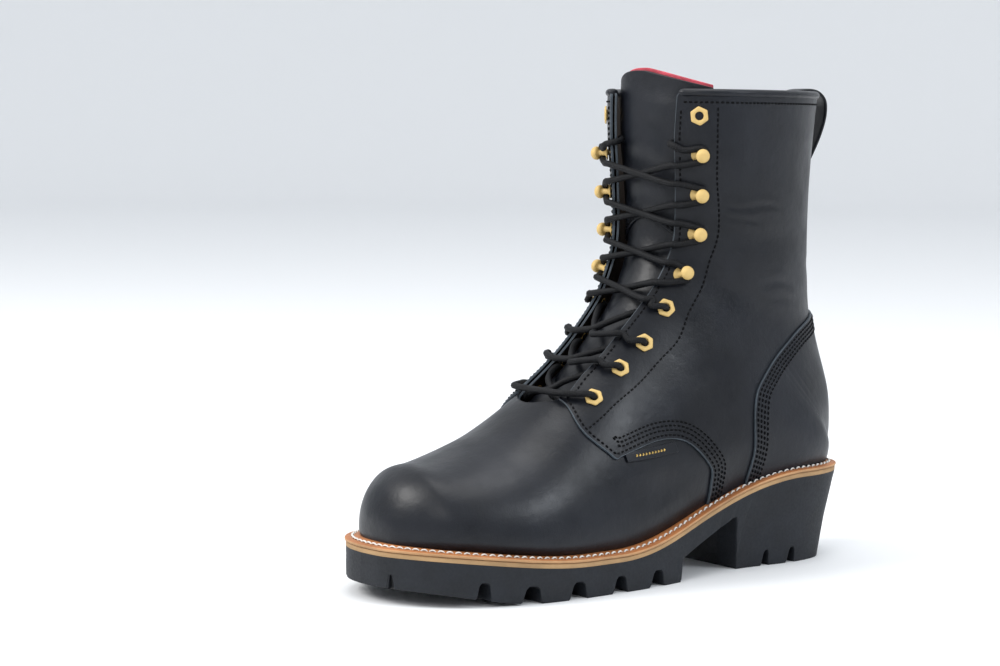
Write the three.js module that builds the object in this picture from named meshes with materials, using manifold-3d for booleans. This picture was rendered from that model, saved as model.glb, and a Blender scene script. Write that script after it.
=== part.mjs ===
// Logger boot, left foot, empty and standing on its sole. Millimetres.
// X points to the outer side, -Y to the toe, Z up; the floor is at zero.
import * as THREE from 'three';
import Module from 'manifold-3d';

const wasm = await Module();
wasm.setup();
const { Manifold, Mesh } = wasm;

// Driving sizes
const length = 301;
const ballWidth = 119;
const collarHeight = 255;
const toeHeight = 23.7;
const ballHeight = 15.7;
const heelHeight = 47.5;
const toeSpring = 8.2;
const toeBoxHeight = 40.6;
const midsoleThickness = 2.6;
const weltThickness = 2.6;
const insoleThickness = 2.8;
const leather = 2.2;
const quarterLeather = 1.5;
const counterLeather = 2.8;
const tongueLeather = 3.2;
const throatWidth = 46;
const facingSetback = 12.5;
const laceWidth = 3.4;
const lugDepth = 9;
const shaftTurn = THREE.MathUtils.degToRad(5);

// Clearances
const gap = 0.3;
const seam = 0.2;
const laceRoom = 0.5;

// Welt edge: x as a share of half the ball width, y as a share of the length from the toe.
const outerEdge = [
  [0, 0], [0.20, 0.0034], [0.42, 0.0191], [0.74, 0.0728], [0.95, 0.1691], [1.02, 0.2704], [1.00, 0.3718],
  [0.93, 0.4934], [0.80, 0.6150], [0.75, 0.7467], [0.75, 0.8581], [0.60, 0.9493], [0.33, 0.9899], [0, 1],
];
const innerEdge = [
  [0, 0], [0.22, 0.0050], [0.44, 0.0252], [0.66, 0.0657], [0.85, 0.1235], [0.96, 0.1894], [1.00, 0.2603],
  [0.97, 0.3414], [0.86, 0.4326], [0.71, 0.5440], [0.66, 0.6453], [0.70, 0.7568], [0.73, 0.8581],
  [0.60, 0.9493], [0.33, 0.9899], [0, 1],
];

// The toe cap's sections stand at these angles up its quarter round.
const toeAngles = [0, 10, 20, 32, 45, 58, 72, 90];
const toeCentre = 0.1412;
const toeRound = { plan: 2.25, height: 2.35, widest: 0.16, crown: 2.3, side: 2 };

// Sections of the upper behind the toe cap. ridgeY, lowY: share of the length. ridgeZ, lowZ: share of the
// collar's height. half: half width as a share of half the ball width. widest: how far up the section
// it is widest. crown, side: how square the section is above and below that.
// The first rows stand on the feather line, the rest end up the back.
const standing = [
  { ridgeY: 0.1811, ridgeZ: 0.2757, lowY: 0.1877, half: 0.840, widest: 0.14, crown: 2.10, side: 2.00 },
  { ridgeY: 0.2309, ridgeZ: 0.2957, lowY: 0.2409, half: 0.874, widest: 0.13, crown: 1.95, side: 2.00 },
  { ridgeY: 0.2807, ridgeZ: 0.3271, lowY: 0.3007, half: 0.857, widest: 0.12, crown: 1.95, side: 2.00 },
  { ridgeY: 0.3339, ridgeZ: 0.3698, lowY: 0.3671, half: 0.832, widest: 0.12, crown: 2.00, side: 2.00 },
  { ridgeY: 0.3787, ridgeZ: 0.4141, lowY: 0.4402, half: 0.798, widest: 0.13, crown: 2.10, side: 2.00 },
  { ridgeY: 0.4203, ridgeZ: 0.4600, lowY: 0.5199, half: 0.765, widest: 0.15, crown: 2.15, side: 2.00 },
  { ridgeY: 0.4601, ridgeZ: 0.5090, lowY: 0.5997, half: 0.739, widest: 0.18, crown: 2.15, side: 2.00 },
  { ridgeY: 0.4967, ridgeZ: 0.5588, lowY: 0.6860, half: 0.723, widest: 0.24, crown: 2.15, side: 2.00 },
  { ridgeY: 0.5276, ridgeZ: 0.6086, lowY: 0.7724, half: 0.706, widest: 0.32, crown: 2.10, side: 2.00 },
  { ridgeY: 0.5472, ridgeZ: 0.6549, lowY: 0.8522, half: 0.706, widest: 0.42, crown: 2.05, side: 2.00 },
  { ridgeY: 0.5565, ridgeZ: 0.6941, lowY: 0.9153, half: 0.697, widest: 0.50, crown: 2.00, side: 2.10 },
  { ridgeY: 0.5605, ridgeZ: 0.7216, lowY: 0.9518, half: 0.689, widest: 0.55, crown: 2.00, side: 2.20 },
  { ridgeY: 0.5625, ridgeZ: 0.7431, lowY: 0.9691, half: 0.689, widest: 0.58, crown: 2.00, side: 2.20 },
];
const wrapping = [
  { ridgeY: 0.5638, ridgeZ: 0.7608, lowY: 0.9784, lowZ: 0.2067, half: 0.689, widest: 0.60, side: 2.20 },
  { ridgeY: 0.5648, ridgeZ: 0.7843, lowY: 0.9831, lowZ: 0.2588, half: 0.689, widest: 0.62, side: 2.20 },
  { ridgeY: 0.5654, ridgeZ: 0.8078, lowY: 0.9877, lowZ: 0.3137, half: 0.697, widest: 0.64, side: 2.20 },
  { ridgeY: 0.5658, ridgeZ: 0.8314, lowY: 0.9844, lowZ: 0.3765, half: 0.706, widest: 0.65, side: 2.20 },
  { ridgeY: 0.5661, ridgeZ: 0.8569, lowY: 0.9738, lowZ: 0.4471, half: 0.714, widest: 0.66, side: 2.20 },
  { ridgeY: 0.5664, ridgeZ: 0.8824, lowY: 0.9625, lowZ: 0.5294, half: 0.723, widest: 0.67, side: 2.15 },
  { ridgeY: 0.5664, ridgeZ: 0.9098, lowY: 0.9551, lowZ: 0.6275, half: 0.739, widest: 0.68, side: 2.10 },
  { ridgeY: 0.5671, ridgeZ: 0.9412, lowY: 0.9538, lowZ: 0.7412, half: 0.756, widest: 0.68, side: 2.10 },
  { ridgeY: 0.5681, ridgeZ: 0.9725, lowY: 0.9601, lowZ: 0.8667, half: 0.773, widest: 0.68, side: 2.10 },
  { ridgeY: 0.5698, ridgeZ: 1.0020, lowY: 0.9724, lowZ: 0.9941, half: 0.790, widest: 0.68, side: 2.10 },
  { ridgeY: 0.5714, ridgeZ: 1.0471, lowY: 0.9801, lowZ: 1.0431, half: 0.798, widest: 0.68, side: 2.10 },
].map(row => ({ ...row, crown: 2 }));

const toeRows = toeAngles.length;
const heelRow = toeRows + standing.length;
const collarRow = heelRow + wrapping.length - 2;

// Side view of the leather edges: y as a share of the length, z as a share of the collar's height.
const quarterFront = [
  [0.3020, 0.4300], [0.3590, 0.3790], [0.3590, 0.3450], [0.3645, 0.3150], [0.3860, 0.2878], [0.4136, 0.2603],
  [0.4203, 0.2660], [0.4661, 0.2816], [0.5017, 0.2912], [0.5365, 0.2933], [0.5691, 0.2849], [0.5997, 0.2608],
  [0.6236, 0.2314], [0.6332, 0.1961], [0.6345, 0.0784],
];
const counterFront = [
  [1.0635, 0.5420], [0.9800, 0.5330], [0.9246, 0.5231], [0.8621, 0.5000], [0.8150, 0.4675], [0.7724, 0.4327],
  [0.7368, 0.3937], [0.7256, 0.3650], [0.7236, 0.3192], [0.7266, 0.2624], [0.7239, 0.2066], [0.7226, 0.0784],
];

// The throat's edge down the front of the shaft and instep, and how much of its width is open there.
const throatEdge = [
  { y: 0.6150, z: 1.1000, open: 1.10 },
  { y: 0.6047, z: 0.9969, open: 1.08 },
  { y: 0.6013, z: 0.9067, open: 1.04 },
  { y: 0.5997, z: 0.7290, open: 1.00 },
  { y: 0.5824, z: 0.6502, open: 0.99 },
  { y: 0.5601, z: 0.5996, open: 0.98 },
  { y: 0.5103, z: 0.5353, open: 0.96 },
  { y: 0.4502, z: 0.4588, open: 0.95 },
  { y: 0.4010, z: 0.4180, open: 0.93 },
  { y: 0.3721, z: 0.3905, open: 0.90 },
  { y: 0.3595, z: 0.3770, open: 0.76 },
  { y: 0.3530, z: 0.3700, open: 0.46 },
];

// Fasteners from the instep to the collar, by height as a share of the collar's height.
const fasteners = [
  { kind: 'eyelet', z: 0.3855 },
  { kind: 'eyelet', z: 0.4380 },
  { kind: 'eyelet', z: 0.4863 },
  { kind: 'eyelet', z: 0.5557 },
  { kind: 'hook', z: 0.6204 },
  { kind: 'hook', z: 0.7031 },
  { kind: 'hook', z: 0.7839 },
  { kind: 'hook', z: 0.8659 },
  { kind: 'eyelet', z: 0.9494 },
];
const eyelet = { across: 5, thickness: 1, hole: 2.3, barrel: 3 };
const hook = { base: 4.1, baseThickness: 0.8, neck: 1.7, neckLength: 4, head: 3.7, headLength: 4.4 };

const alongLength = share => (share - 0.5) * length;
const up = share => share * collarHeight;
const halfBall = ballWidth / 2;

function smooth(value) {
  const t = Math.min(1, Math.max(0, value));
  return t * t * (3 - 2 * t);
}

// Natural cubic curve through the values at whole numbers 0, 1, 2...
function curveThrough(values) {
  const last = values.length - 1;
  const bend = new Array(values.length).fill(0);
  const pivot = new Array(values.length).fill(0);
  for (let i = 1; i < last; i++) {
    const turn = 6 * (values[i + 1] - 2 * values[i] + values[i - 1]);
    const below = 4 - pivot[i - 1];
    pivot[i] = 1 / below;
    bend[i] = (turn - bend[i - 1]) / below;
  }
  for (let i = last - 1; i > 0; i--) bend[i] -= pivot[i] * bend[i + 1];
  return at => {
    const i = Math.min(last - 1, Math.max(0, Math.floor(at)));
    const b = at - i;
    const a = 1 - b;
    return a * values[i] + b * values[i + 1]
      + ((a * a * a - a) * bend[i] + (b * b * b - b) * bend[i + 1]) / 6;
  };
}

// Value of a listed curve at a rising key.
function between(points, key, value, at) {
  let i = 0;
  while (i < points.length - 2 && points[i + 1][key] < at) i++;
  const span = points[i + 1][key] - points[i][key];
  const t = span > 0 ? Math.min(1, Math.max(0, (at - points[i][key]) / span)) : 0;
  return points[i][value] + t * (points[i + 1][value] - points[i][value]);
}

// One side of the welt's edge, moved in from it by a distance that may change along the boot.
function edgeLine(edge, side, inset) {
  const x = curveThrough(edge.map(point => side * point[0] * halfBall));
  const y = curveThrough(edge.map(point => alongLength(point[1])));
  const steps = 16;
  const count = (edge.length - 1) * steps;
  const line = [];
  for (let i = 0; i <= count; i++) {
    const at = i / steps;
    const dx = x(Math.min(at + 0.01, edge.length - 1)) - x(Math.max(at - 0.01, 0));
    const dy = y(Math.min(at + 0.01, edge.length - 1)) - y(Math.max(at - 0.01, 0));
    const long = Math.hypot(dx, dy);
    const tip = i === 0 || i === count;
    const inX = tip ? 0 : -side * dy / long;
    const inY = tip ? (i === 0 ? 1 : -1) : side * dx / long;
    const distance = inset(y(at));
    line.push([x(at) + inX * distance, y(at) + inY * distance]);
  }
  return line;
}

function outline(inset) {
  const depth = typeof inset === 'function' ? inset : () => inset;
  const outer = edgeLine(outerEdge, 1, depth);
  const inner = edgeLine(innerEdge, -1, depth);
  return { outer, inner, toe: outer[0][1], heel: outer[outer.length - 1][1] };
}

const share = y => y / length + 0.5;
const rubberTop = y => ballHeight
  + (toeHeight - ballHeight) * (1 - smooth(share(y) / 0.341))
  + (heelHeight - ballHeight) * smooth((share(y) - 0.402) / 0.456);
const weltTop = y => rubberTop(y) + midsoleThickness + weltThickness;
const featherInset = y => 8.2 - 1.7 * smooth((share(y) - 0.45) / 0.3);
const feather = outline(featherInset);

// A closed solid from points and triangles, with repeated points joined and its faces turned outward.
function solidOf(points, triangles) {
  const found = new Map();
  const kept = [];
  const index = points.map(point => {
    const key = point.map(value => Math.round(value * 1e4)).join();
    if (!found.has(key)) {
      found.set(key, kept.length);
      kept.push(point);
    }
    return found.get(key);
  });
  let faces = triangles
    .map(face => face.map(corner => index[corner]))
    .filter(([a, b, c]) => a !== b && b !== c && c !== a);
  let volume = 0;
  for (const [a, b, c] of faces) {
    const [p, q, r] = [kept[a], kept[b], kept[c]];
    volume += p[0] * (q[1] * r[2] - q[2] * r[1]) - p[1] * (q[0] * r[2] - q[2] * r[0])
      + p[2] * (q[0] * r[1] - q[1] * r[0]);
  }
  if (volume < 0) faces = faces.map(([a, b, c]) => [a, c, b]);
  return new Manifold(new Mesh({
    numProp: 3,
    vertProperties: new Float32Array(kept.flat()),
    triVerts: new Uint32Array(faces.flat()),
  }));
}

// Rings of equal count joined one to the next. Each end is closed across the ring from its two sides.
function loft(rings) {
  const count = rings[0].length;
  const points = rings.flat();
  const faces = [];
  for (let i = 0; i + 1 < rings.length; i++) {
    for (let j = 0; j < count; j++) {
      const a = i * count + j;
      const b = i * count + (j + 1) % count;
      faces.push([a, b, b + count], [a, b + count, a + count]);
    }
  }
  const last = (rings.length - 1) * count;
  for (let j = 0; 2 * j + 1 < count; j++) {
    const far = count - 1 - j;
    if (j + 1 > far - 1 && j + 1 >= far) break;
    faces.push([j, far, far - 1], [j, far - 1, j + 1]);
    faces.push([last + j, last + far - 1, last + far], [last + j, last + j + 1, last + far - 1]);
  }
  return solidOf(points, faces);
}

// A layer of the sole: outlines one above another, each with its height along the boot.
function layered(levels, stations = 38) {
  const rings = levels.map(({ plan, z }) => {
    const outer = [];
    const inner = [];
    for (let i = 0; i <= stations; i++) {
      const y = (plan.toe + plan.heel) / 2 - (plan.heel - plan.toe) / 2 * Math.cos(Math.PI * i / stations);
      outer.push([between(plan.outer, 1, 0, y), y, z(y)]);
      inner.push([between(plan.inner, 1, 0, y), y, z(y)]);
    }
    return [...outer, ...inner.reverse()];
  });
  return loft(rings);
}

// A side-view shape carried straight across from one x to another.
function across(profile, fromX, toX) {
  const flat = profile.map(([y, z]) => new THREE.Vector2(y, z));
  const count = flat.length;
  const points = [
    ...profile.map(([y, z]) => [fromX, y, z]),
    ...profile.map(([y, z]) => [toX, y, z]),
  ];
  const faces = [];
  for (const [a, b, c] of THREE.ShapeUtils.triangulateShape(flat, [])) {
    faces.push([a, b, c], [a + count, c + count, b + count]);
  }
  const turned = THREE.ShapeUtils.area(flat) > 0;
  for (let i = 0; i < count; i++) {
    const j = (i + 1) % count;
    if (turned) faces.push([i, j + count, j], [i, i + count, j + count]);
    else faces.push([i, j, j + count], [i, j + count, i + count]);
  }
  return solidOf(points, faces);
}

// Columns of the section table as smooth curves over the rows.
function toeSection(degrees) {
  const angle = THREE.MathUtils.degToRad(degrees);
  const centre = alongLength(toeCentre);
  const y = centre - (centre - feather.toe) * Math.cos(angle) ** (2 / toeRound.plan);
  return {
    ridgeY: y,
    ridgeZ: weltTop(y) + toeBoxHeight * Math.sin(angle) ** (2 / toeRound.height),
    lowY: y,
    lowZ: weltTop(y),
    outer: 0.97 * between(feather.outer, 1, 0, y),
    inner: -0.97 * between(feather.inner, 1, 0, y),
    widest: toeRound.widest,
    crown: toeRound.crown,
    side: toeRound.side,
  };
}

function shaftSection(row) {
  const lowY = alongLength(row.lowY);
  return {
    ...row,
    ridgeY: alongLength(row.ridgeY),
    ridgeZ: up(row.ridgeZ),
    lowY,
    lowZ: row.lowZ === undefined ? weltTop(lowY) : up(row.lowZ),
    outer: row.half * halfBall,
    inner: row.half * halfBall,
  };
}

const rows = [...toeAngles.map(toeSection), ...standing.map(shaftSection), ...wrapping.map(shaftSection)];
rows[heelRow].lowY = feather.heel;
rows[heelRow].lowZ = weltTop(feather.heel);
const columns = {};
for (const name of Object.keys(rows[0])) columns[name] = curveThrough(rows.map(row => row[name]));
const lowStanding = curveThrough(rows.slice(0, heelRow + 1).map(row => row.lowY));
const lowWrappingY = curveThrough(rows.slice(heelRow).map(row => row.lowY));
const lowWrappingZ = curveThrough(rows.slice(heelRow).map(row => row.lowZ));

// One section: its ridge and low points and its half widths.
function sectionAt(row) {
  const section = Object.fromEntries(Object.entries(columns).map(([name, curve]) => [name, curve(row)]));
  if (row <= heelRow) {
    section.lowY = Math.min(lowStanding(row), feather.heel);
    section.lowZ = weltTop(section.lowY);
    section.foot = [
      Math.max(0, between(feather.outer, 1, 0, section.lowY)),
      Math.max(0, -between(feather.inner, 1, 0, section.lowY)),
    ];
  } else {
    section.lowY = lowWrappingY(row - heelRow);
    section.lowZ = lowWrappingZ(row - heelRow);
    section.foot = [0, 0];
  }
  return section;
}

// Half a section as a fine line from the ridge down to its low point, with the arc length at each point.
const halfSteps = 60;
function halfSection(row, side) {
  const section = sectionAt(row);
  const foot = section.foot[side > 0 ? 0 : 1];
  const wanted = Math.max(0, side > 0 ? section.outer : section.inner);
  const half = ((foot * 1.02) ** 8 + wanted ** 8) ** (1 / 8);
  const { widest, crown, side: power } = section;
  const closed = foot < 0.001;
  const span = half > 0 ? widest / Math.max(1 - (foot / half) ** 2, 1e-9) ** (1 / power) : 1;
  const line = [];
  for (let i = 0; i <= 2 * halfSteps; i++) {
    let height;
    let width;
    if (i <= halfSteps) {
      const angle = Math.PI / 2 * i / halfSteps;
      height = widest + (1 - widest) * Math.cos(angle) ** (2 / crown);
      width = half * Math.sin(angle);
    } else {
      const t = (i - halfSteps) / halfSteps;
      height = closed ? widest - widest * Math.sin(Math.PI / 2 * t) ** (2 / power) : widest * (1 - t);
      width = half * Math.sqrt(Math.max(0, 1 - ((widest - height) / span) ** power));
    }
    line.push([
      side * width,
      section.lowY + height * (section.ridgeY - section.lowY),
      section.lowZ + height * (section.ridgeZ - section.lowZ),
    ]);
  }
  const arcs = [0];
  for (let i = 1; i < line.length; i++) {
    const [p, q] = [line[i - 1], line[i]];
    arcs.push(arcs[i - 1] + Math.hypot(p[0] - q[0], p[1] - q[1], p[2] - q[2]));
  }
  return { line, arcs, total: arcs[arcs.length - 1] };
}

function alongHalf({ line, arcs }, arc) {
  let i = 0;
  while (i < arcs.length - 2 && arcs[i + 1] < arc) i++;
  const span = arcs[i + 1] - arcs[i];
  const t = span > 0 ? Math.min(1, Math.max(0, (arc - arcs[i]) / span)) : 0;
  return line[i].map((value, axis) => value + t * (line[i + 1][axis] - value));
}

// A point on a section's own line, as the share of the way down from the ridge, positive on the outer side.
function sectionPoint(row, part) {
  const half = halfSection(row, part < 0 ? -1 : 1);
  return alongHalf(half, Math.abs(part) * half.total);
}

// A point of the upper's face. Where standing sections give way to wrapping ones, neighbouring sections are
// blended so that the side of the heel has no crease.
const blendSteps = [-2, -1.3, -0.65, 0, 0.65, 1.3, 2];
function facePoint(row, part) {
  const reach = 1.2 * smooth(1.1 - Math.abs(row - heelRow) / 5.5) * smooth((1 - Math.abs(part)) / 0.3);
  if (reach < 0.01) return sectionPoint(row, part);
  const sum = [0, 0, 0];
  let total = 0;
  for (const step of blendSteps) {
    const weight = Math.exp(-step * step / 2);
    sectionPoint(row + step * reach, part).forEach((value, axis) => { sum[axis] += weight * value; });
    total += weight;
  }
  return sum.map(value => value / total);
}

function normalFrom(alongRow, alongSection) {
  const normal = new THREE.Vector3(...alongSection).cross(new THREE.Vector3(...alongRow));
  return normal.length() > 1e-9 ? normal.normalize().toArray() : [0, -1, 0];
}

const minus = (p, q) => p.map((value, axis) => value - q[axis]);
const moved = (p, direction, distance) => p.map((value, axis) => value + direction[axis] * distance);

// Rows of face points, each from the inner low end over the ridge to the outer low end, and their normals.
function faceGrid(rowList, halfColumns) {
  const lines = rowList.map(row => {
    const line = [];
    for (let j = -halfColumns; j <= halfColumns; j++) line.push(facePoint(row, j / halfColumns));
    return line;
  });
  const last = 2 * halfColumns;
  const normals = lines.map((line, i) => line.map((point, j) => {
    if (i === 0) return [0, -1, 0];
    const wraps = rowList[i] >= heelRow && (j === 0 || j === last);
    const left = wraps ? line[last - 1] : line[Math.max(0, j - 1)];
    const right = wraps ? line[1] : line[Math.min(last, j + 1)];
    const above = lines[Math.min(lines.length - 1, i + 1)][j];
    const below = lines[i - 1][j];
    return normalFrom(minus(above, below), minus(right, left));
  }));
  return { lines, normals };
}

// The closed block inside the upper's face moved out (or in, if negative) by a distance.
function block(rowList, halfColumns, distance, raise = 0) {
  const { lines, normals } = faceGrid(rowList, halfColumns);
  const grid = lines.map((line, i) => line.map((point, j) => moved(point, normals[i][j], distance)));
  if (raise > 0) grid.push(grid[grid.length - 1].map(([x, y, z]) => [x, y, z + raise]));
  const count = 2 * halfColumns + 1;
  const faces = [];
  for (let i = 0; i + 1 < grid.length; i++) {
    for (let j = 0; j + 1 < count; j++) {
      const a = i * count + j;
      faces.push([a, a + 1, a + 1 + count], [a, a + 1 + count, a + count]);
    }
    const [a, b] = [i * count, i * count + count - 1];
    faces.push([b, a, a + count], [b, a + count, b + count]);
  }
  const top = (grid.length - 1) * count;
  for (let j = 0; j < halfColumns; j++) {
    const far = count - 1 - j;
    faces.push([top + j, top + j + 1, top + far - 1], [top + j, top + far - 1, top + far]);
  }
  // The two low ends of a wrapping section are one point on the back seam.
  for (let i = 0; i < grid.length; i++) {
    const row = i < rowList.length ? rowList[i] : collarRow;
    if (row < heelRow) continue;
    const middle = grid[i][0].map((value, axis) => (value + grid[i][count - 1][axis]) / 2);
    grid[i][0] = middle;
    grid[i][count - 1] = middle;
  }
  return solidOf(grid.flat(), faces);
}

function rowList(toHeel, toCollar) {
  const list = [];
  for (let i = 0; i <= toHeel; i++) list.push(heelRow * i / toHeel);
  for (let i = 1; i <= toCollar; i++) list.push(heelRow + (collarRow - heelRow) * i / toCollar);
  return list;
}

// The shaft is turned a little on the foot: nothing at the welt, all of it above the instep.
function turned(solid) {
  return solid.warp(point => {
    const angle = shaftTurn * smooth((point[2] - 60) / 80);
    const [x, y] = point;
    point[0] = x * Math.cos(angle) - y * Math.sin(angle);
    point[1] = x * Math.sin(angle) + y * Math.cos(angle);
  });
}

// Where a section meets the throat's edge, and how far its arc runs from the ridge to there.
function throatArc(row, side) {
  const half = halfSection(row, side);
  const probe = half.line[0];
  const z = probe[2] / collarHeight;
  const sorted = [...throatEdge].reverse();
  const open = throatWidth / 2 * between(sorted, 'z', 'open', z);
  let i = 0;
  while (i < half.line.length - 1 && Math.abs(half.line[i][0]) < open) i++;
  return half.arcs[i];
}

// A place on the face a set distance behind the throat's edge, at a height.
function facingSpot(z, side, setback) {
  let [low, high] = [toeRows, collarRow + 1];
  const heightAt = row => {
    const half = halfSection(row, side);
    return alongHalf(half, throatArc(row, side) + setback)[2];
  };
  for (let i = 0; i < 30; i++) {
    const middle = (low + high) / 2;
    if (heightAt(middle) < z) low = middle;
    else high = middle;
  }
  const row = (low + high) / 2;
  const step = 0.05;
  const half = halfSection(row, side);
  const arc = throatArc(row, side) + setback;
  const point = alongHalf(half, arc);
  const above = alongHalf(halfSection(row + step, side), arc);
  const below = alongHalf(halfSection(row - step, side), arc);
  const forward = minus(above, below);
  const sideways = minus(alongHalf(half, arc + 1), alongHalf(half, arc - 1)).map(value => value * side);
  return { row, arc, point, normal: normalFrom(forward, sideways) };
}

// Sole
const full = outline(0);
const heelTaper = y => 7.5 * smooth((share(y) - 0.62) / 0.1) + 3.5 * smooth((share(y) - 0.93) / 0.07);
const soleFloor = y => toeSpring * (1 - smooth(share(y) / 0.24));
const middleHeight = y => soleFloor(y) * 0.55 + rubberTop(y) * 0.45;

const lugPlan = outline(y => 1 + heelTaper(y));
const wall = outline(y => 0.8 + heelTaper(y) * 0.62);
const rubberPlan = outline(0.8);
const rubberBlock = layered([
  { plan: lugPlan, z: soleFloor },
  { plan: wall, z: middleHeight },
  { plan: rubberPlan, z: rubberTop },
]);

// Grooves across the tread: where each starts and ends on the floor, as shares of the length.
const grooves = [
  { from: 0.1176, to: 0.1455 },
  { from: 0.1944, to: 0.2342 },
  { from: 0.2870, to: 0.3263 },
  { from: 0.3827, to: 0.4169 },
  { from: 0.4701, to: 0.5073 },
  { from: 0.7734, to: 0.7920 },
  { from: 0.8329, to: 0.8545 },
];
const beyond = ballWidth;
function grooveShape({ from, to }) {
  const [front, back] = [alongLength(from), alongLength(to)];
  const floor = soleFloor((front + back) / 2);
  const wide = back - front;
  return [
    [front - wide * 0.06, -1],
    [front + wide * 0.22, floor + lugDepth * 0.82],
    [front + wide * 0.36, floor + lugDepth],
    [front + wide * 0.72, floor + lugDepth],
    [front + wide * 0.88, floor + lugDepth * 0.82],
    [back + wide * 0.02, -1],
  ];
}
// The waist between the tread and the heel's breast.
const waist = [
  [0.5500, -1], [0.5561, 0.0490], [0.6170, 0.0800], [0.6860, 0.1140], [0.6990, 0.1160], [0.7080, 0.0640],
  [0.7145, 0.0200], [0.7160, -1],
].map(([y, z]) => [alongLength(y), z < 0 ? z : up(z)]);

let outsole = rubberBlock.subtract(across(waist, -beyond, beyond));
for (const groove of grooves) outsole = outsole.subtract(across(grooveShape(groove), -beyond, beyond));

// A channel inside the edge lugs, and one down the middle.
const edgeLug = 19;
const channel = 4.5;
const channelDepth = 6;
const channelBack = alongLength(0.54);
const channelTop = y => soleFloor(y) + channelDepth;
const below = () => -1;
const channelRing = layered([
  { plan: outline(edgeLug), z: below },
  { plan: outline(edgeLug), z: channelTop },
]).subtract(layered([
  { plan: outline(edgeLug + channel), z: () => -2 },
  { plan: outline(edgeLug + channel), z: y => channelTop(y) + 1 },
]));
const treadOnly = across([
  [-length, -2], [channelBack, -2], [channelBack, channelDepth * 3], [-length, channelDepth * 3],
], -beyond, beyond);
outsole = outsole.subtract(channelRing.intersect(treadOnly));
const middleFrom = alongLength(0.12);
outsole = outsole.subtract(across([
  [middleFrom, -1], [channelBack, -1], [channelBack, channelDepth], [middleFrom, channelDepth],
], -channel / 2, channel / 2));
// Two notches in the toe's edge.
for (const side of [1, -1]) {
  const notch = loft([0, 1].map(step => {
    const [x, y] = [side * (16 + step * 9), alongLength(0.062) - step * 22];
    const half = 2.6 + step * 1.4;
    const top = toeSpring + 7;
    return [[x - half, y, 0], [x + half, y, 0], [x + half * 0.3, y, top], [x - half * 0.3, y, top]];
  }));
  outsole = outsole.subtract(notch);
}

const midsole = layered([
  { plan: outline(0.6), z: y => rubberTop(y) + seam },
  { plan: outline(0.6), z: y => rubberTop(y) + midsoleThickness },
]);

const weltRing = 19;
const weltWhole = layered([
  { plan: full, z: y => rubberTop(y) + midsoleThickness + seam },
  { plan: full, z: weltTop },
]);
const weltHole = layered([
  { plan: outline(weltRing), z: y => rubberTop(y) },
  { plan: outline(weltRing), z: y => weltTop(y) + 2 },
]);
const welt = weltWhole.subtract(weltHole);

const insolePlan = outline(y => featherInset(y) + leather + 0.7);
const insole = layered([
  { plan: insolePlan, z: y => weltTop(y) + seam },
  { plan: insolePlan, z: y => weltTop(y) + seam + insoleThickness },
]).add(layered([
  { plan: outline(weltRing + gap), z: y => rubberTop(y) + midsoleThickness + seam },
  { plan: outline(weltRing + gap), z: y => weltTop(y) + insoleThickness / 2 },
]));

// Upper
const sideView = points => points.map(([y, z]) => [alongLength(y), up(z)]);
const behind = alongLength(1.2);
const above = up(1.3);
const quarterSide = across([...sideView(quarterFront), [behind, up(0.0784)], [behind, above],
  [alongLength(0.302), above]], -beyond, beyond);
const counterSide = across([...sideView(counterFront), [behind, up(0.0784)], [behind, up(0.542)]],
  -beyond, beyond);

const outerRows = rowList(27, 11);
const outerColumns = 13;
const innerRows = rowList(15, 7);
const innerColumns = 9;

const foot = block(outerRows, outerColumns, 0);
const quarter = block(outerRows, outerColumns, quarterLeather).intersect(quarterSide);
const counter = block(outerRows, outerColumns, counterLeather).intersect(counterSide);
const hollow = block(innerRows, innerColumns, -leather, 12);
const footOpening = layered([
  { plan: outline(y => featherInset(y) + leather), z: y => weltTop(y) - 8 },
  { plan: outline(y => featherInset(y) + leather), z: y => weltTop(y) + 4 },
]);
const underWelt = layered([
  { plan: outline(-30), z: () => -40 },
  { plan: outline(-30), z: y => weltTop(y) + gap },
]);

// The throat's cutter: a strip square to the facing's edge in the side view.
function throatCutter() {
  const rings = throatEdge.map((edge, i) => {
    const before = throatEdge[Math.max(0, i - 1)];
    const after = throatEdge[Math.min(throatEdge.length - 1, i + 1)];
    const run = new THREE.Vector2((before.y - after.y) * length, up(before.z - after.z)).normalize();
    const [outY, outZ] = [-run.y, run.x];
    const [y, z] = [alongLength(edge.y), up(edge.z)];
    const half = throatWidth / 2 * edge.open;
    const [front, back] = [36, -22];
    return [
      [-half, y + outY * front, z + outZ * front],
      [half, y + outY * front, z + outZ * front],
      [half, y + outY * back, z + outZ * back],
      [-half, y + outY * back, z + outZ * back],
    ];
  });
  return loft(rings);
}

const bindingHeight = 4.2;
const collarFall = 1.8;
const collarCut = y => collarHeight - bindingHeight - collarFall * (share(y) - 0.3);
const cutStart = alongLength(0.3);
const aboveCollar = across([
  [cutStart, collarCut(cutStart)], [behind, collarCut(behind)], [behind, above], [cutStart, above],
], -beyond, beyond);

let upper = foot.add(quarter).add(counter)
  .subtract(hollow)
  .subtract(footOpening)
  .subtract(underWelt)
  .subtract(throatCutter())
  .subtract(aboveCollar);

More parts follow.
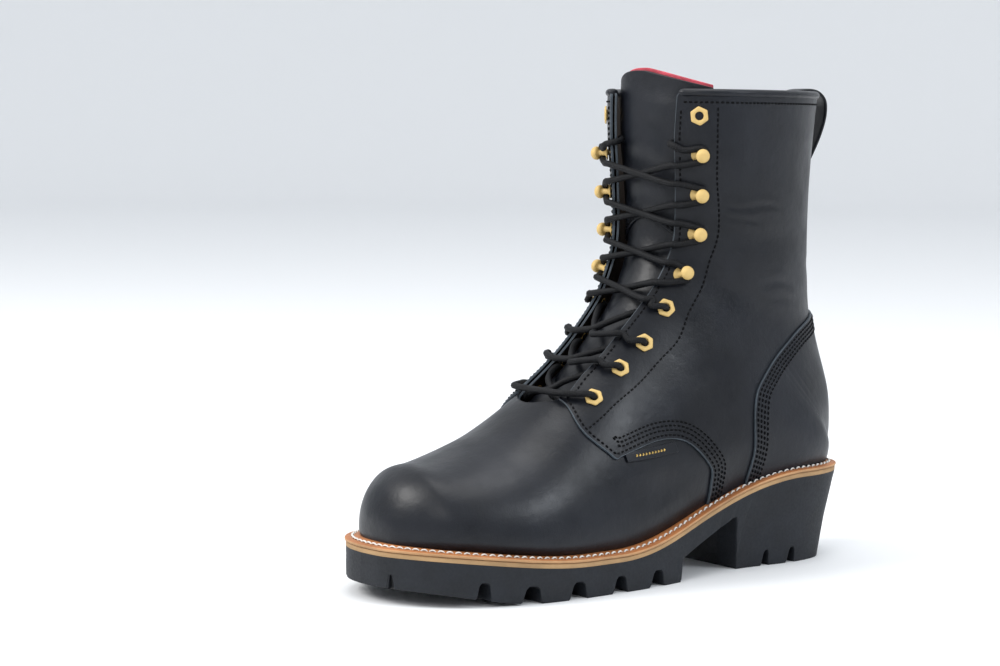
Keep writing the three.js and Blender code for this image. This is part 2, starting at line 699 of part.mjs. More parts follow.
// Tongue: a sheet under the facings that runs out above the collar.
const tongueSewn = leather + 0.7;
const tongueBelow = leather + laceWidth + 1.2;
const tongueSink = 3.4;
const tongueRows = 18;
const tongueColumns = 10;
const tongueStart = toeRows + 2.3;
const tongueEnd = collarRow + 0.92;
function tonguePoint(row, part, depth) {
  const t = (row - tongueStart) / (tongueEnd - tongueStart);
  const half = 30 + 6 * smooth(t * 1.6) - 13 * Math.max(0, (t - 0.9) / 0.1) ** 2.4;
  const side = part < 0 ? -1 : 1;
  const step = 0.05;
  const arc = Math.abs(part) * half;
  const section = halfSection(row, side);
  const point = alongHalf(section, arc);
  const ahead = alongHalf(halfSection(Math.min(row + step, rows.length - 1), side), arc);
  const back = alongHalf(halfSection(row - step, side), arc);
  const sideways = minus(alongHalf(section, arc + 1), alongHalf(section, Math.max(0, arc - 1)))
    .map(value => value * side);
  const normal = normalFrom(minus(ahead, back), sideways);
  const free = smooth(t / 0.04);
  const sink = tongueSink * (1 - part * part) ** 2;
  return moved(point, normal, -(tongueSewn + free * (tongueBelow - tongueSewn + sink) + depth));
}
function sheet(fromRow, toRow, rowCount, columnCount, pointAt, thickness) {
  const rings = [];
  for (let i = 0; i <= rowCount; i++) {
    const row = fromRow + (toRow - fromRow) * (1 - (1 - i / rowCount) ** 1.7);
    const ring = [];
    for (let j = 0; j <= columnCount; j++) ring.push(pointAt(row, 2 * j / columnCount - 1, 0));
    for (let j = columnCount; j >= 0; j--) ring.push(pointAt(row, 2 * j / columnCount - 1, thickness));
    rings.push(ring);
  }
  return loft(rings);
}
const tongue = sheet(tongueStart, tongueEnd, tongueRows, tongueColumns, tonguePoint, tongueLeather);

// Fasteners. Each is made standing on the origin along +Z, then set on the facing along its normal.
function turnedProfile(profile, sides) {
  return loft(profile.map(([radius, z]) => Array.from({ length: sides }, (_, i) => {
    const angle = 2 * Math.PI * (i + 0.5) / sides;
    return [radius * Math.cos(angle), radius * Math.sin(angle), z];
  })));
}
const barrelDepth = leather + quarterLeather + 0.6;
const eyeletBody = turnedProfile([
  [eyelet.across, 0], [eyelet.across, eyelet.thickness * 0.6], [eyelet.across * 0.86, eyelet.thickness],
], 6)
  .add(turnedProfile([[eyelet.barrel, -barrelDepth], [eyelet.barrel, eyelet.thickness / 2]], 8))
  .subtract(turnedProfile([[eyelet.hole, -barrelDepth - 1], [eyelet.hole, eyelet.thickness + 1]], 8));
const neckTop = hook.baseThickness + hook.neckLength;
const hookTop = neckTop + hook.headLength;
const hookBody = turnedProfile([
  [hook.base, 0], [hook.base * 0.92, hook.baseThickness],
  [hook.neck, hook.baseThickness + 0.2], [hook.neck, neckTop],
  [hook.head * 0.8, neckTop + 0.5], [hook.head, neckTop + hook.headLength * 0.45],
  [hook.head * 0.84, neckTop + hook.headLength * 0.82], [hook.head * 0.4, hookTop],
], 8)
  .add(turnedProfile([[hook.neck, -barrelDepth + 0.4], [hook.neck, hook.baseThickness / 2]], 8));
const drill = radius => turnedProfile([[radius, -6], [radius, 4]], 8);

function setOn(body, { point, normal }, lift) {
  const turn = new THREE.Matrix4().makeRotationFromQuaternion(
    new THREE.Quaternion().setFromUnitVectors(new THREE.Vector3(0, 0, 1), new THREE.Vector3(...normal)));
  turn.setPosition(...moved(point, normal, lift));
  return body.transform(turn.toArray());
}

const fastenerLift = quarterLeather + gap + 0.15;
const spots = fasteners.flatMap((item, index) => [1, -1].map(side => ({
  ...item,
  name: `${item.kind}_${side > 0 ? 'outer' : 'inner'}_${index + 1}`,
  index,
  side,
  ...facingSpot(up(item.z), side, facingSetback),
})));
for (const spot of spots) {
  const hole = (spot.kind === 'eyelet' ? eyelet.barrel : hook.neck) + gap;
  upper = upper.subtract(setOn(drill(hole), spot, quarterLeather));
}

// Collar binding: a rolled strip over the collar's edge, from one facing round the back to the other.
const bindingProfile = [
  [-leather - 0.9, gap], [quarterLeather + 0.9, gap], [quarterLeather + 1.2, 2.2],
  [quarterLeather + 0.5, 3.8], [-0.3, bindingHeight + 0.3], [-leather - 0.5, 3.8], [-leather - 1.2, 2.2],
];
const bindingSteps = 36;
function bindingRing(step) {
  const side = step < bindingSteps / 2 ? -1 : 1;
  const half = halfSection(collarRow, side);
  const from = throatArc(collarRow, side) + 0.6;
  const arc = half.total - (half.total - from) * Math.abs(2 * step / bindingSteps - 1);
  const at = alongHalf(half, arc);
  const [p, q] = [alongHalf(half, arc - 0.8), alongHalf(half, arc + 0.8)];
  const run = new THREE.Vector2((q[0] - p[0]) * side, (q[1] - p[1]) * side).normalize();
  const out = arc > half.total - 1 ? [0, 1] : [run.y, -run.x];
  return bindingProfile.map(([offset, height]) => {
    const y = at[1] + out[1] * offset;
    return [at[0] + out[0] * offset, y, collarCut(y) + height];
  });
}
const binding = loft(Array.from({ length: bindingSteps + 1 }, (_, step) => bindingRing(step)));

// Pull loop: a strap sewn to the back of the shaft, over the binding and down inside.
function backAt(z) {
  let [low, high] = [heelRow, rows.length - 1];
  for (let i = 0; i < 30; i++) {
    const middle = (low + high) / 2;
    if (lowWrappingZ(middle - heelRow) < z) low = middle;
    else high = middle;
  }
  return lowWrappingY(low - heelRow);
}
const loopThickness = 1.8;
const loopWidth = 14;
// Height as a share of the collar's, and how far the strap's middle stands behind the wall's face.
const loopPath = [
  { z: 0.826, out: 2.9 }, { z: 0.848, out: 3.3 }, { z: 0.895, out: 6.4 }, { z: 0.940, out: 9.2 },
  { z: 0.978, out: 9.0 }, { z: 1.004, out: 6.0 }, { z: 1.018, out: 0.5 }, { z: 1.006, out: -5.6 },
  { z: 0.975, out: -6.4 }, { z: 0.925, out: -5.4 },
].map(({ z, out }) => new THREE.Vector3(0, backAt(Math.min(up(z), collarHeight)) + out, up(z)));
const loopCurve = new THREE.CatmullRomCurve3(loopPath, false, 'centripetal');
const loopSteps = 24;
const pullLoop = loft(Array.from({ length: loopSteps + 1 }, (_, i) => {
  const at = loopCurve.getPointAt(i / loopSteps);
  const run = loopCurve.getTangentAt(i / loopSteps);
  const [outY, outZ] = [-run.z * loopThickness / 2, run.y * loopThickness / 2];
  const half = loopWidth / 2;
  return [
    [-half, at.y + outY, at.z + outZ], [half, at.y + outY, at.z + outZ],
    [half, at.y - outY, at.z - outZ], [-half, at.y - outY, at.z - outZ],
  ];
}));

// Side tag: a small leather tab below the quarter's edge on the outer side.
const tagFront = { row: 12.40, part: 0.590 };
const tagBack = { row: 13.98, part: 0.668 };
const tagDrop = 0.040;
const tagThickness = 1;
function tagPoint(along, part, depth) {
  const row = tagFront.row + (tagBack.row - tagFront.row) * along;
  const down = tagFront.part + (tagBack.part - tagFront.part) * along + tagDrop * (part + 1) / 2;
  const step = 0.02;
  const forward = minus(facePoint(row + step, down), facePoint(row - step, down));
  const downward = minus(facePoint(row, down + step), facePoint(row, down - step));
  return moved(facePoint(row, down), normalFrom(forward, downward), gap + tagThickness - depth);
}
const sideTag = sheet(0, 1, 5, 2, tagPoint, tagThickness);

// Lace: round strands. A place on the facing is a height, a side, a setback from the throat's edge and a lift
// off the face.
const laceSides = 6;
const laceStep = 14;
function strand(places) {
  const points = places.map(place => new THREE.Vector3(...place));
  const curve = new THREE.CatmullRomCurve3(points, false, 'centripetal');
  const rings = [];
  let normal = new THREE.Vector3(0, 0, 1);
  const addRing = t => {
    const at = curve.getPoint(t);
    const run = curve.getTangent(t);
    normal = normal.sub(run.clone().multiplyScalar(normal.dot(run))).normalize();
    const other = run.clone().cross(normal);
    rings.push(Array.from({ length: laceSides }, (_, k) => {
      const angle = 2 * Math.PI * k / laceSides;
      return at.clone()
        .addScaledVector(normal, laceWidth / 2 * Math.cos(angle))
        .addScaledVector(other, laceWidth / 2 * Math.sin(angle))
        .toArray();
    }));
  };
  const last = points.length - 1;
  for (let i = 0; i < last; i++) {
    const parts = Math.max(1, Math.ceil(points[i].distanceTo(points[i + 1]) / laceStep));
    for (let k = 0; k < parts; k++) addRing((i + k / parts) / last);
  }
  addRing(1);
  return loft(rings);
}
const spotOf = (index, side) => spots.find(spot => spot.index === index && spot.side === side);
function onFacing(z, side, setback, lift) {
  const { point, normal } = facingSpot(z, side, setback);
  return moved(point, normal, lift);
}
const overLift = quarterLeather + laceWidth / 2 + 1.5;
const underLift = -leather - laceWidth / 2 - laceRoom;
const heightOf = spot => spot.point[2];
// From inside an eyelet's hole out and over the plate towards the throat.
const outOfHole = spot => [
  { in: 0, lift: 0.9 }, { in: 0.1, lift: 2.6 }, { in: 1.1, lift: 4.8 },
  { in: 3.6, lift: 5.6 }, { in: 6.4, lift: 5.2 },
].map(step => onFacing(heightOf(spot), spot.side, facingSetback - step.in, step.lift));
const overEdge = (z, side) => [onFacing(z, side, 3, overLift + 0.3), onFacing(z, side, -0.9, overLift)];
const underEdge = (z, side) => [onFacing(z, side, -2, underLift), onFacing(z, side, 3, underLift)];
// Round the far side of a hook's neck, from below it to above it.
function roundHook(spot) {
  const behind = onFacing(heightOf(spot), spot.side, facingSetback + 2, 0);
  const away = new THREE.Vector3(...minus(behind, spot.point)).normalize();
  const out = new THREE.Vector3(...spot.normal);
  const rise = out.clone().cross(away).multiplyScalar(spot.side > 0 ? 1 : -1).normalize();
  if (rise.z < 0) rise.negate();
  const lift = fastenerLift + hook.baseThickness + laceWidth / 2 + 0.35;
  const reach = hook.neck + laceWidth / 2 + 0.35;
  return [-90, -30, 30, 90].map(degrees => {
    const angle = THREE.MathUtils.degToRad(degrees);
    return new THREE.Vector3(...spot.point).addScaledVector(out, lift)
      .addScaledVector(away, reach * Math.cos(angle))
      .addScaledVector(rise, reach * Math.sin(angle))
      .toArray();
  });
}
// Across the throat: the crossing leaves one facing a little above its fastener and meets the other below it.
const crossShare = 0.18;
const mixHeight = (low, high, share) => heightOf(low) + (heightOf(high) - heightOf(low)) * share;

const lowest = [1, -1].map(side => spotOf(0, side));
const laceBar = strand([
  ...outOfHole(lowest[0]), ...overEdge(heightOf(lowest[0]), 1),
  ...overEdge(heightOf(lowest[1]), -1).reverse(), ...outOfHole(lowest[1]).reverse(),
]);
// A place in the throat's opening, a share of the way across from one fastener's facing to the other's.
function inThroat(low, high, across, depth) {
  const side = across < 0.5 ? low.side : high.side;
  const fromEdge = throatWidth * 0.54 * (1 - Math.abs(1 - 2 * across));
  return onFacing(mixHeight(low, high, across), side, -fromEdge, -depth);
}
const bothWays = pair => [1, -1].map(pair).reduce((sum, solid) => sum.add(solid));
const innerCross = bothWays(side => {
  const [low, high] = [spotOf(0, side), spotOf(1, -side)];
  return strand([
    ...underEdge(heightOf(low), side).reverse(),
    inThroat(low, high, 0.12, 3.6), inThroat(low, high, 0.25, 3.4),
    inThroat(low, high, 0.5, 5.8), inThroat(low, high, 0.75, 4.9),
    ...underEdge(heightOf(high), -side),
  ]);
});
const overThenUnder = index => bothWays(side => {
  const [low, high] = [spotOf(index, side), spotOf(index + 1, -side)];
  return strand([
    ...outOfHole(low), ...overEdge(mixHeight(low, high, crossShare), side),
    inThroat(low, high, 0.3, 0.8), inThroat(low, high, 0.5, 4.4), inThroat(low, high, 0.7, 5.4),
    ...underEdge(heightOf(high), -side),
  ]);
});
const firstHook = fasteners.findIndex(item => item.kind === 'hook');
const hookCount = fasteners.filter(item => item.kind === 'hook').length;
const laceRun = bothWays(start => {
  let from = spotOf(firstHook - 1, start);
  let places = outOfHole(from);
  for (let i = 0; i < hookCount; i++) {
    const to = spotOf(firstHook + i, -from.side);
    places = [
      ...places, ...overEdge(mixHeight(from, to, crossShare), from.side),
      ...overEdge(mixHeight(from, to, 1 - crossShare), to.side).reverse(), ...roundHook(to),
    ];
    from = to;
  }
  const tucked = [
    { z: 0.010, setback: 6, lift: overLift + 0.5 }, { z: 0.020, setback: 0.5, lift: overLift },
    { z: 0.026, setback: -3.6, lift: 1.6 }, { z: 0.030, setback: -3.7, lift: -1.6 },
    { z: 0.034, setback: -0.8, lift: underLift - 0.2 }, { z: 0.038, setback: 3, lift: underLift - 0.6 },
  ].map(step => onFacing(heightOf(from) + up(step.z), from.side, step.setback, step.lift));
  return strand([...places, ...tucked]);
});

// Object
const colours = {
  black_leather: { color: 0x1d2026, roughness: 0.42, metalness: 0 },
  insole_leather: { color: 0x8a6a48, roughness: 0.8, metalness: 0 },
  tan_welt: { color: 0xc08a58, roughness: 0.7, metalness: 0 },
  midsole_leather: { color: 0xb89a72, roughness: 0.8, metalness: 0 },
  black_rubber: { color: 0x1b1e22, roughness: 0.75, metalness: 0 },
  brass: { color: 0xc9a24e, roughness: 0.3, metalness: 1 },
  black_cord: { color: 0x141518, roughness: 0.8, metalness: 0 },
};
const boot = new THREE.Group();
boot.name = 'logger_boot';
function place(name, solid, look) {
  const mesh = solid.getMesh();
  const geometry = new THREE.BufferGeometry();
  const stride = mesh.numProp;
  const positions = new Float32Array(mesh.vertProperties.length / stride * 3);
  for (let i = 0; i < positions.length / 3; i++) {
    for (let axis = 0; axis < 3; axis++) positions[3 * i + axis] = mesh.vertProperties[i * stride + axis];
  }
  geometry.setAttribute('position', new THREE.BufferAttribute(positions, 3));
  geometry.setIndex(new THREE.BufferAttribute(new Uint32Array(mesh.triVerts), 1));
  geometry.computeVertexNormals();
  const node = new THREE.Mesh(geometry, new THREE.MeshStandardMaterial(colours[look]));
  node.material.name = look;
  node.name = name;
  boot.add(node);
}
place('outsole', outsole, 'black_rubber');
place('midsole', midsole, 'midsole_leather');
place('welt', welt, 'tan_welt');
place('insole', insole, 'insole_leather');
place('upper', turned(upper), 'black_leather');
place('tongue', turned(tongue), 'black_leather');
place('collar_binding', turned(binding), 'black_leather');
place('pull_loop', turned(pullLoop), 'black_leather');
place('side_tag', turned(sideTag), 'black_leather');
for (const spot of spots) {
  const body = spot.kind === 'eyelet' ? eyeletBody : hookBody;
  place(spot.name, turned(setOn(body, spot, fastenerLift)), 'brass');
}
place('lace_bar', turned(laceBar), 'black_cord');
place('lace_inner_cross', turned(innerCross), 'black_cord');
place('lace_cross_2', turned(overThenUnder(1)), 'black_cord');
place('lace_cross_3', turned(overThenUnder(2)), 'black_cord');
place('lace_run', turned(laceRun), 'black_cord');

// The origin is on the floor under the middle of the boot's box.
const box = new THREE.Box3().setFromObject(boot);
const middle = box.getCenter(new THREE.Vector3());
for (const node of boot.children) node.geometry.translate(-middle.x, -middle.y, 0);

export default boot;
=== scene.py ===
"""Dresses the logger boot: leather, seams, sole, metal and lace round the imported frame, and the stage."""
import math

import bmesh
import bpy
import numpy as np
from bpy.props import FloatProperty, FloatVectorProperty, IntProperty, PointerProperty
from mathutils import Matrix, Vector


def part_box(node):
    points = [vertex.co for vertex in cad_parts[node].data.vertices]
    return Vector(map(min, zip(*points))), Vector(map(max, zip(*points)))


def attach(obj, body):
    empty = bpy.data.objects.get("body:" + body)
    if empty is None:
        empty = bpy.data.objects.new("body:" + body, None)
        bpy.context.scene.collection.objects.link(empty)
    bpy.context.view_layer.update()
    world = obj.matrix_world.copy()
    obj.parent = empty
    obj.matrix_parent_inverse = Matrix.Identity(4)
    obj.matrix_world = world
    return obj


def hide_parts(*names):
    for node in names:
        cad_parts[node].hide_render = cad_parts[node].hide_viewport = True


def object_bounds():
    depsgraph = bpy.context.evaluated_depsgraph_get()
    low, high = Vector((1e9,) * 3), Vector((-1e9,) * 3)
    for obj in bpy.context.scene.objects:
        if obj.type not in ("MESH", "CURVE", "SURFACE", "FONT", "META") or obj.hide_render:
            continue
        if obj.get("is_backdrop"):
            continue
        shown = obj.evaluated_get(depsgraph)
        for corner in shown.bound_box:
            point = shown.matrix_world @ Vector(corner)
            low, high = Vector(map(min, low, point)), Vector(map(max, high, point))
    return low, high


bl_info = {
    "name": "Logger Boot",
    "version": (1, 0, 0),
    "blender": (4, 2, 0),
    "location": "View3D > Sidebar > Boot",
    "description": "Builds the visible pieces of a lace-up logger boot",
    "category": "Object",
}

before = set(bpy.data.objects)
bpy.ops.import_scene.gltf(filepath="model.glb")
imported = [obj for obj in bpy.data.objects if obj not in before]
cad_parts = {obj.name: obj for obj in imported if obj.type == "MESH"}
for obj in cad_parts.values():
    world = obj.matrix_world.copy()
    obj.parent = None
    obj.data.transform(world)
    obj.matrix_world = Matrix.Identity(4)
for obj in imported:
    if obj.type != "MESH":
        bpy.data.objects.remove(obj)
CAD_LOW, CAD_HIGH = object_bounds()
MM = 0.001

# Sizes in millimetres, the same as the solids have.
LENGTH = 301.0
HALF_BALL = 59.5
COLLAR = 255.0
TOE_HEIGHT = 23.7
BALL_HEIGHT = 15.7
HEEL_HEIGHT = 47.5
TOE_SPRING = 8.2
TOE_BOX = 40.6
MIDSOLE = 2.6
WELT = 2.6
LEATHER = 2.2
QUARTER = 1.5
COUNTER = 2.8
THROAT = 46.0
SHAFT_TURN = math.radians(5)
BINDING = 4.2
COLLAR_FALL = 1.8
LUG = 9.0

# Welt edge: x as a share of half the ball width, y as a share of the length.
OUTER_EDGE = [
    (0, 0), (0.20, 0.0034), (0.42, 0.0191), (0.74, 0.0728), (0.95, 0.1691), (1.02, 0.2704), (1.00, 0.3718),
    (0.93, 0.4934), (0.80, 0.6150), (0.75, 0.7467), (0.75, 0.8581), (0.60, 0.9493), (0.33, 0.9899), (0, 1),
]
INNER_EDGE = [
    (0, 0), (0.22, 0.0050), (0.44, 0.0252), (0.66, 0.0657), (0.85, 0.1235), (0.96, 0.1894), (1.00, 0.2603),
    (0.97, 0.3414), (0.86, 0.4326), (0.71, 0.5440), (0.66, 0.6453), (0.70, 0.7568), (0.73, 0.8581),
    (0.60, 0.9493), (0.33, 0.9899), (0, 1),
]
TOE_ANGLES = [0, 10, 20, 32, 45, 58, 72, 90]
# ridge y, ridge z, low y, low z (None on the welt), half width, widest, crown, side
SECTIONS = [
    (0.1811, 0.2757, 0.1877, None, 0.840, 0.14, 2.10, 2.00),
    (0.2309, 0.2957, 0.2409, None, 0.874, 0.13, 1.95, 2.00),
    (0.2807, 0.3271, 0.3007, None, 0.857, 0.12, 1.95, 2.00),
    (0.3339, 0.3698, 0.3671, None, 0.832, 0.12, 2.00, 2.00),
    (0.3787, 0.4141, 0.4402, None, 0.798, 0.13, 2.10, 2.00),
    (0.4203, 0.4600, 0.5199, None, 0.765, 0.15, 2.15, 2.00),
    (0.4601, 0.5090, 0.5997, None, 0.739, 0.18, 2.15, 2.00),
    (0.4967, 0.5588, 0.6860, None, 0.723, 0.24, 2.15, 2.00),
    (0.5276, 0.6086, 0.7724, None, 0.706, 0.32, 2.10, 2.00),
    (0.5472, 0.6549, 0.8522, None, 0.706, 0.42, 2.05, 2.00),
    (0.5565, 0.6941, 0.9153, None, 0.697, 0.50, 2.00, 2.10),
    (0.5605, 0.7216, 0.9518, None, 0.689, 0.55, 2.00, 2.20),
    (0.5625, 0.7431, 0.9691, None, 0.689, 0.58, 2.00, 2.20),
    (0.5638, 0.7608, 0.9784, 0.2067, 0.689, 0.60, 2.00, 2.20),
    (0.5648, 0.7843, 0.9831, 0.2588, 0.689, 0.62, 2.00, 2.20),
    (0.5654, 0.8078, 0.9877, 0.3137, 0.697, 0.64, 2.00, 2.20),
    (0.5658, 0.8314, 0.9844, 0.3765, 0.706, 0.65, 2.00, 2.20),
    (0.5661, 0.8569, 0.9738, 0.4471, 0.714, 0.66, 2.00, 2.20),
    (0.5664, 0.8824, 0.9625, 0.5294, 0.723, 0.67, 2.00, 2.15),
    (0.5664, 0.9098, 0.9551, 0.6275, 0.739, 0.68, 2.00, 2.10),
    (0.5671, 0.9412, 0.9538, 0.7412, 0.756, 0.68, 2.00, 2.10),
    (0.5681, 0.9725, 0.9601, 0.8667, 0.773, 0.68, 2.00, 2.10),
    (0.5698, 1.0020, 0.9724, 0.9941, 0.790, 0.68, 2.00, 2.10),
    (0.5714, 1.0471, 0.9801, 1.0431, 0.798, 0.68, 2.00, 2.10),
]
HEEL_ROW = 21
COLLAR_ROW = 30
LAST_ROW = 31
ROW_STEP = 0.1
HALF_COLUMNS = 70

# Side view of the leather's edges: y as a share of the length, z as a share of the collar's height.
QUARTER_TOP = [(0.3020, 0.4300), (0.3430, 0.3930), (0.3590, 0.3700), (0.3590, 0.3450), (0.3645, 0.3150),
               (0.3860, 0.2878), (0.4136, 0.2603)]
QUARTER_LOW = [(0.4136, 0.2603), (0.4203, 0.2660), (0.4661, 0.2816), (0.5017, 0.2912), (0.5365, 0.2933),
               (0.5691, 0.2849), (0.5997, 0.2608), (0.6236, 0.2314), (0.6332, 0.1961), (0.6345, 0.0784)]
COUNTER_EDGE = [(1.0635, 0.5420), (0.9800, 0.5330), (0.9246, 0.5231), (0.8621, 0.5000), (0.8150, 0.4675),
                (0.7724, 0.4327), (0.7368, 0.3937), (0.7256, 0.3650), (0.7236, 0.3192), (0.7266, 0.2624),
                (0.7239, 0.2066), (0.7226, 0.0784)]
STAY_LINE = [(0.6415, 1.0400), (0.6415, 0.9808), (0.6438, 0.8698), (0.6511, 0.7902), (0.6578, 0.7102),
             (0.6472, 0.6541), (0.6319, 0.5984), (0.6043, 0.5502), (0.5811, 0.4996), (0.5558, 0.4702),
             (0.5266, 0.4435), (0.4850, 0.4047), (0.4385, 0.3714), (0.4046, 0.3443), (0.3760, 0.3235),
             (0.3640, 0.3140)]
# The throat: z as a share of the collar's height, and its half width in millimetres.
THROAT_EDGE = [(0.30, -40.0), (0.3660, -4.0), (0.3675, 3.0), (0.3690, 8.0), (0.3715, 13.0), (0.3770, 17.5),
               (0.3905, 20.7), (0.4180, 21.4), (0.4588, 21.85), (0.5353, 22.1), (0.5996, 22.5),
               (0.6502, 22.8),
               (0.7290, 23.0), (0.9067, 23.9), (0.9969, 24.85), (1.10, 25.3)]
# How much nearer to the middle the outer facing is over the instep.
NEARER = [(0.3715, 0.0), (0.39, 1.6), (0.42, 3.8), (0.50, 4.5), (0.56, 3.6), (0.62, 1.8), (0.70, 0.0)]
# Kind, height as a share of the collar's height, millimetres behind the throat's edge.
FASTENERS = [
    ("eyelet", 0.3790, 14.5), ("eyelet", 0.4345, 13.3), ("eyelet", 0.4835, 13.8), ("eyelet", 0.5530, 10.4),
    ("hook", 0.6204, 8.8), ("hook", 0.7065, 13.4), ("hook", 0.7880, 13.8), ("hook", 0.8705, 13.8),
    ("eyelet", 0.9494, 12.5),
]
GROOVES = [(0.1176, 0.1455), (0.1944, 0.2342), (0.2870, 0.3263), (0.3827, 0.4169), (0.4701, 0.5073),
           (0.7734, 0.7920), (0.8329, 0.8545)]
WAIST = [(0.5500, None), (0.5561, 0.0490), (0.6170, 0.0800), (0.6860, 0.1140), (0.6990, 0.1160),
         (0.7080, 0.0640), (0.7145, 0.0200), (0.7160, None)]


def along(share):
    return (np.asarray(share) - 0.5) * LENGTH


def smooth(value):
    t = np.clip(value, 0, 1)
    return t * t * (3 - 2 * t)


def unit(v):
    return v / np.maximum(np.linalg.norm(v, axis=-1, keepdims=True), 1e-9)


def natural_curve(values):
    """Natural cubic curve through the values at whole numbers."""
    y = np.asarray(values, float)
    count = len(y)
    matrix = np.eye(count)
    turn = np.zeros(count)
    for i in range(1, count - 1):
        matrix[i, i - 1 : i + 2] = 1, 4, 1
        turn[i] = 6 * (y[i + 1] - 2 * y[i] + y[i - 1])
    bend = np.linalg.solve(matrix, turn)

    def at(t):
        t = np.asarray(t, float)
        i = np.clip(np.floor(t).astype(int), 0, count - 2)
        b = t - i
        a = 1 - b
        return a * y[i] + b * y[i + 1] + ((a**3 - a) * bend[i] + (b**3 - b) * bend[i + 1]) / 6

    return at


def share_of(y):
    return np.asarray(y) / LENGTH + 0.5


def rubber_top(y):
    s = share_of(y)
    return (BALL_HEIGHT + (TOE_HEIGHT - BALL_HEIGHT) * (1 - smooth(s / 0.341))
            + (HEEL_HEIGHT - BALL_HEIGHT) * smooth((s - 0.402) / 0.456))


def welt_top(y):
    return rubber_top(y) + MIDSOLE + WELT


def sole_floor(y):
    return TOE_SPRING * (1 - smooth(share_of(y) / 0.24))


def feather_inset(y):
    return 8.2 - 1.7 * smooth((share_of(y) - 0.45) / 0.3)


def heel_taper(y):
    s = share_of(y)
    return 7.5 * smooth((s - 0.62) / 0.1) + 3.5 * smooth((s - 0.93) / 0.07)


def edge_points(edge, side, inset, steps=24):
    x = natural_curve([side * point[0] * HALF_BALL for point in edge])
    y = natural_curve([along(point[1]) for point in edge])
    last = len(edge) - 1
    at = np.linspace(0, last, last * steps + 1)
    ahead, behind = np.minimum(at + 0.01, last), np.maximum(at - 0.01, 0)
    run = unit(np.stack([x(ahead) - x(behind), y(ahead) - y(behind)], -1))
    inward = np.stack([-side * run[:, 1], side * run[:, 0]], -1)
    inward[0], inward[-1] = (0, 1), (0, -1)
    return np.stack([x(at), y(at)], -1) + inward * np.broadcast_to(inset(y(at)), at.shape)[:, None]


def outline(inset):
    depth = inset if callable(inset) else (lambda y: inset + 0 * y)
    return edge_points(OUTER_EDGE, 1, depth), edge_points(INNER_EDGE, -1, depth)


def width_at(line, y):
    return np.interp(y, np.maximum.accumulate(line[:, 1]), line[:, 0])


def loop_outline(inset):
    """The whole outline as one loop: toe, outer side, heel, inner side."""
    outer, inner = outline(inset)
    return np.vstack([outer, inner[-2:0:-1]])


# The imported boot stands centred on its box; this is how far the tables' origin moved.
_loop = loop_outline(0)
_low, _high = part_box("welt")[:2]
SHIFT = np.array([
    (_low[0] + _high[0]) / 2 / MM - (_loop[:, 0].min() + _loop[:, 0].max()) / 2,
    (_low[1] + _high[1]) / 2 / MM - (_loop[:, 1].min() + _loop[:, 1].max()) / 2,
    0.0,
])


def turned(points):
    angle = SHAFT_TURN * smooth((points[..., 2] - 60) / 80)
    x, y = points[..., 0], points[..., 1]
    lean = smooth((points[..., 2] - 60) / 120)
    return np.stack([x * np.cos(angle) - y * np.sin(angle) + 1.3 * lean,
                     x * np.sin(angle) + y * np.cos(angle) + 1.9 * lean, points[..., 2]], -1)


def placed(points):
    """From the tables' millimetres to the scene's metres."""
    return (np.asarray(points, float) + SHIFT) * MM


# The face of the upper
FEATHER = outline(feather_inset)
FEATHER_TOE, FEATHER_HEEL = FEATHER[0][0, 1], FEATHER[0][-1, 1]


def toe_section(degrees):
    angle = math.radians(degrees)
    centre = along(0.1412)
    y = centre - (centre - FEATHER_TOE) * math.cos(angle) ** (2 / 2.25)
    half = 0.97 * float(width_at(FEATHER[0], y)), -0.97 * float(width_at(FEATHER[1], y))
    return (y, welt_top(y) + TOE_BOX * math.sin(angle) ** (2 / 2.35), y, welt_top(y), *half, 0.16, 2.3, 2.0)


def shaft_section(row):
    ridge_y, ridge_z, low_y, low_z, half, widest, crown, side = row
    low_y = along(low_y)
    low_z = welt_top(low_y) if low_z is None else low_z * COLLAR
    wide = half * HALF_BALL
    return (along(ridge_y), ridge_z * COLLAR, low_y, low_z, wide, wide, widest, crown, side)


TABLE = np.array([toe_section(angle) for angle in TOE_ANGLES] + [shaft_section(row) for row in SECTIONS])
TABLE[HEEL_ROW, 2:4] = FEATHER_HEEL, welt_top(FEATHER_HEEL)
COLUMNS = [natural_curve(TABLE[:, k]) for k in range(TABLE.shape[1])]
LOW_STANDING = natural_curve(TABLE[: HEEL_ROW + 1, 2])
LOW_WRAPPING = [natural_curve(TABLE[HEEL_ROW:, k]) for k in (2, 3)]


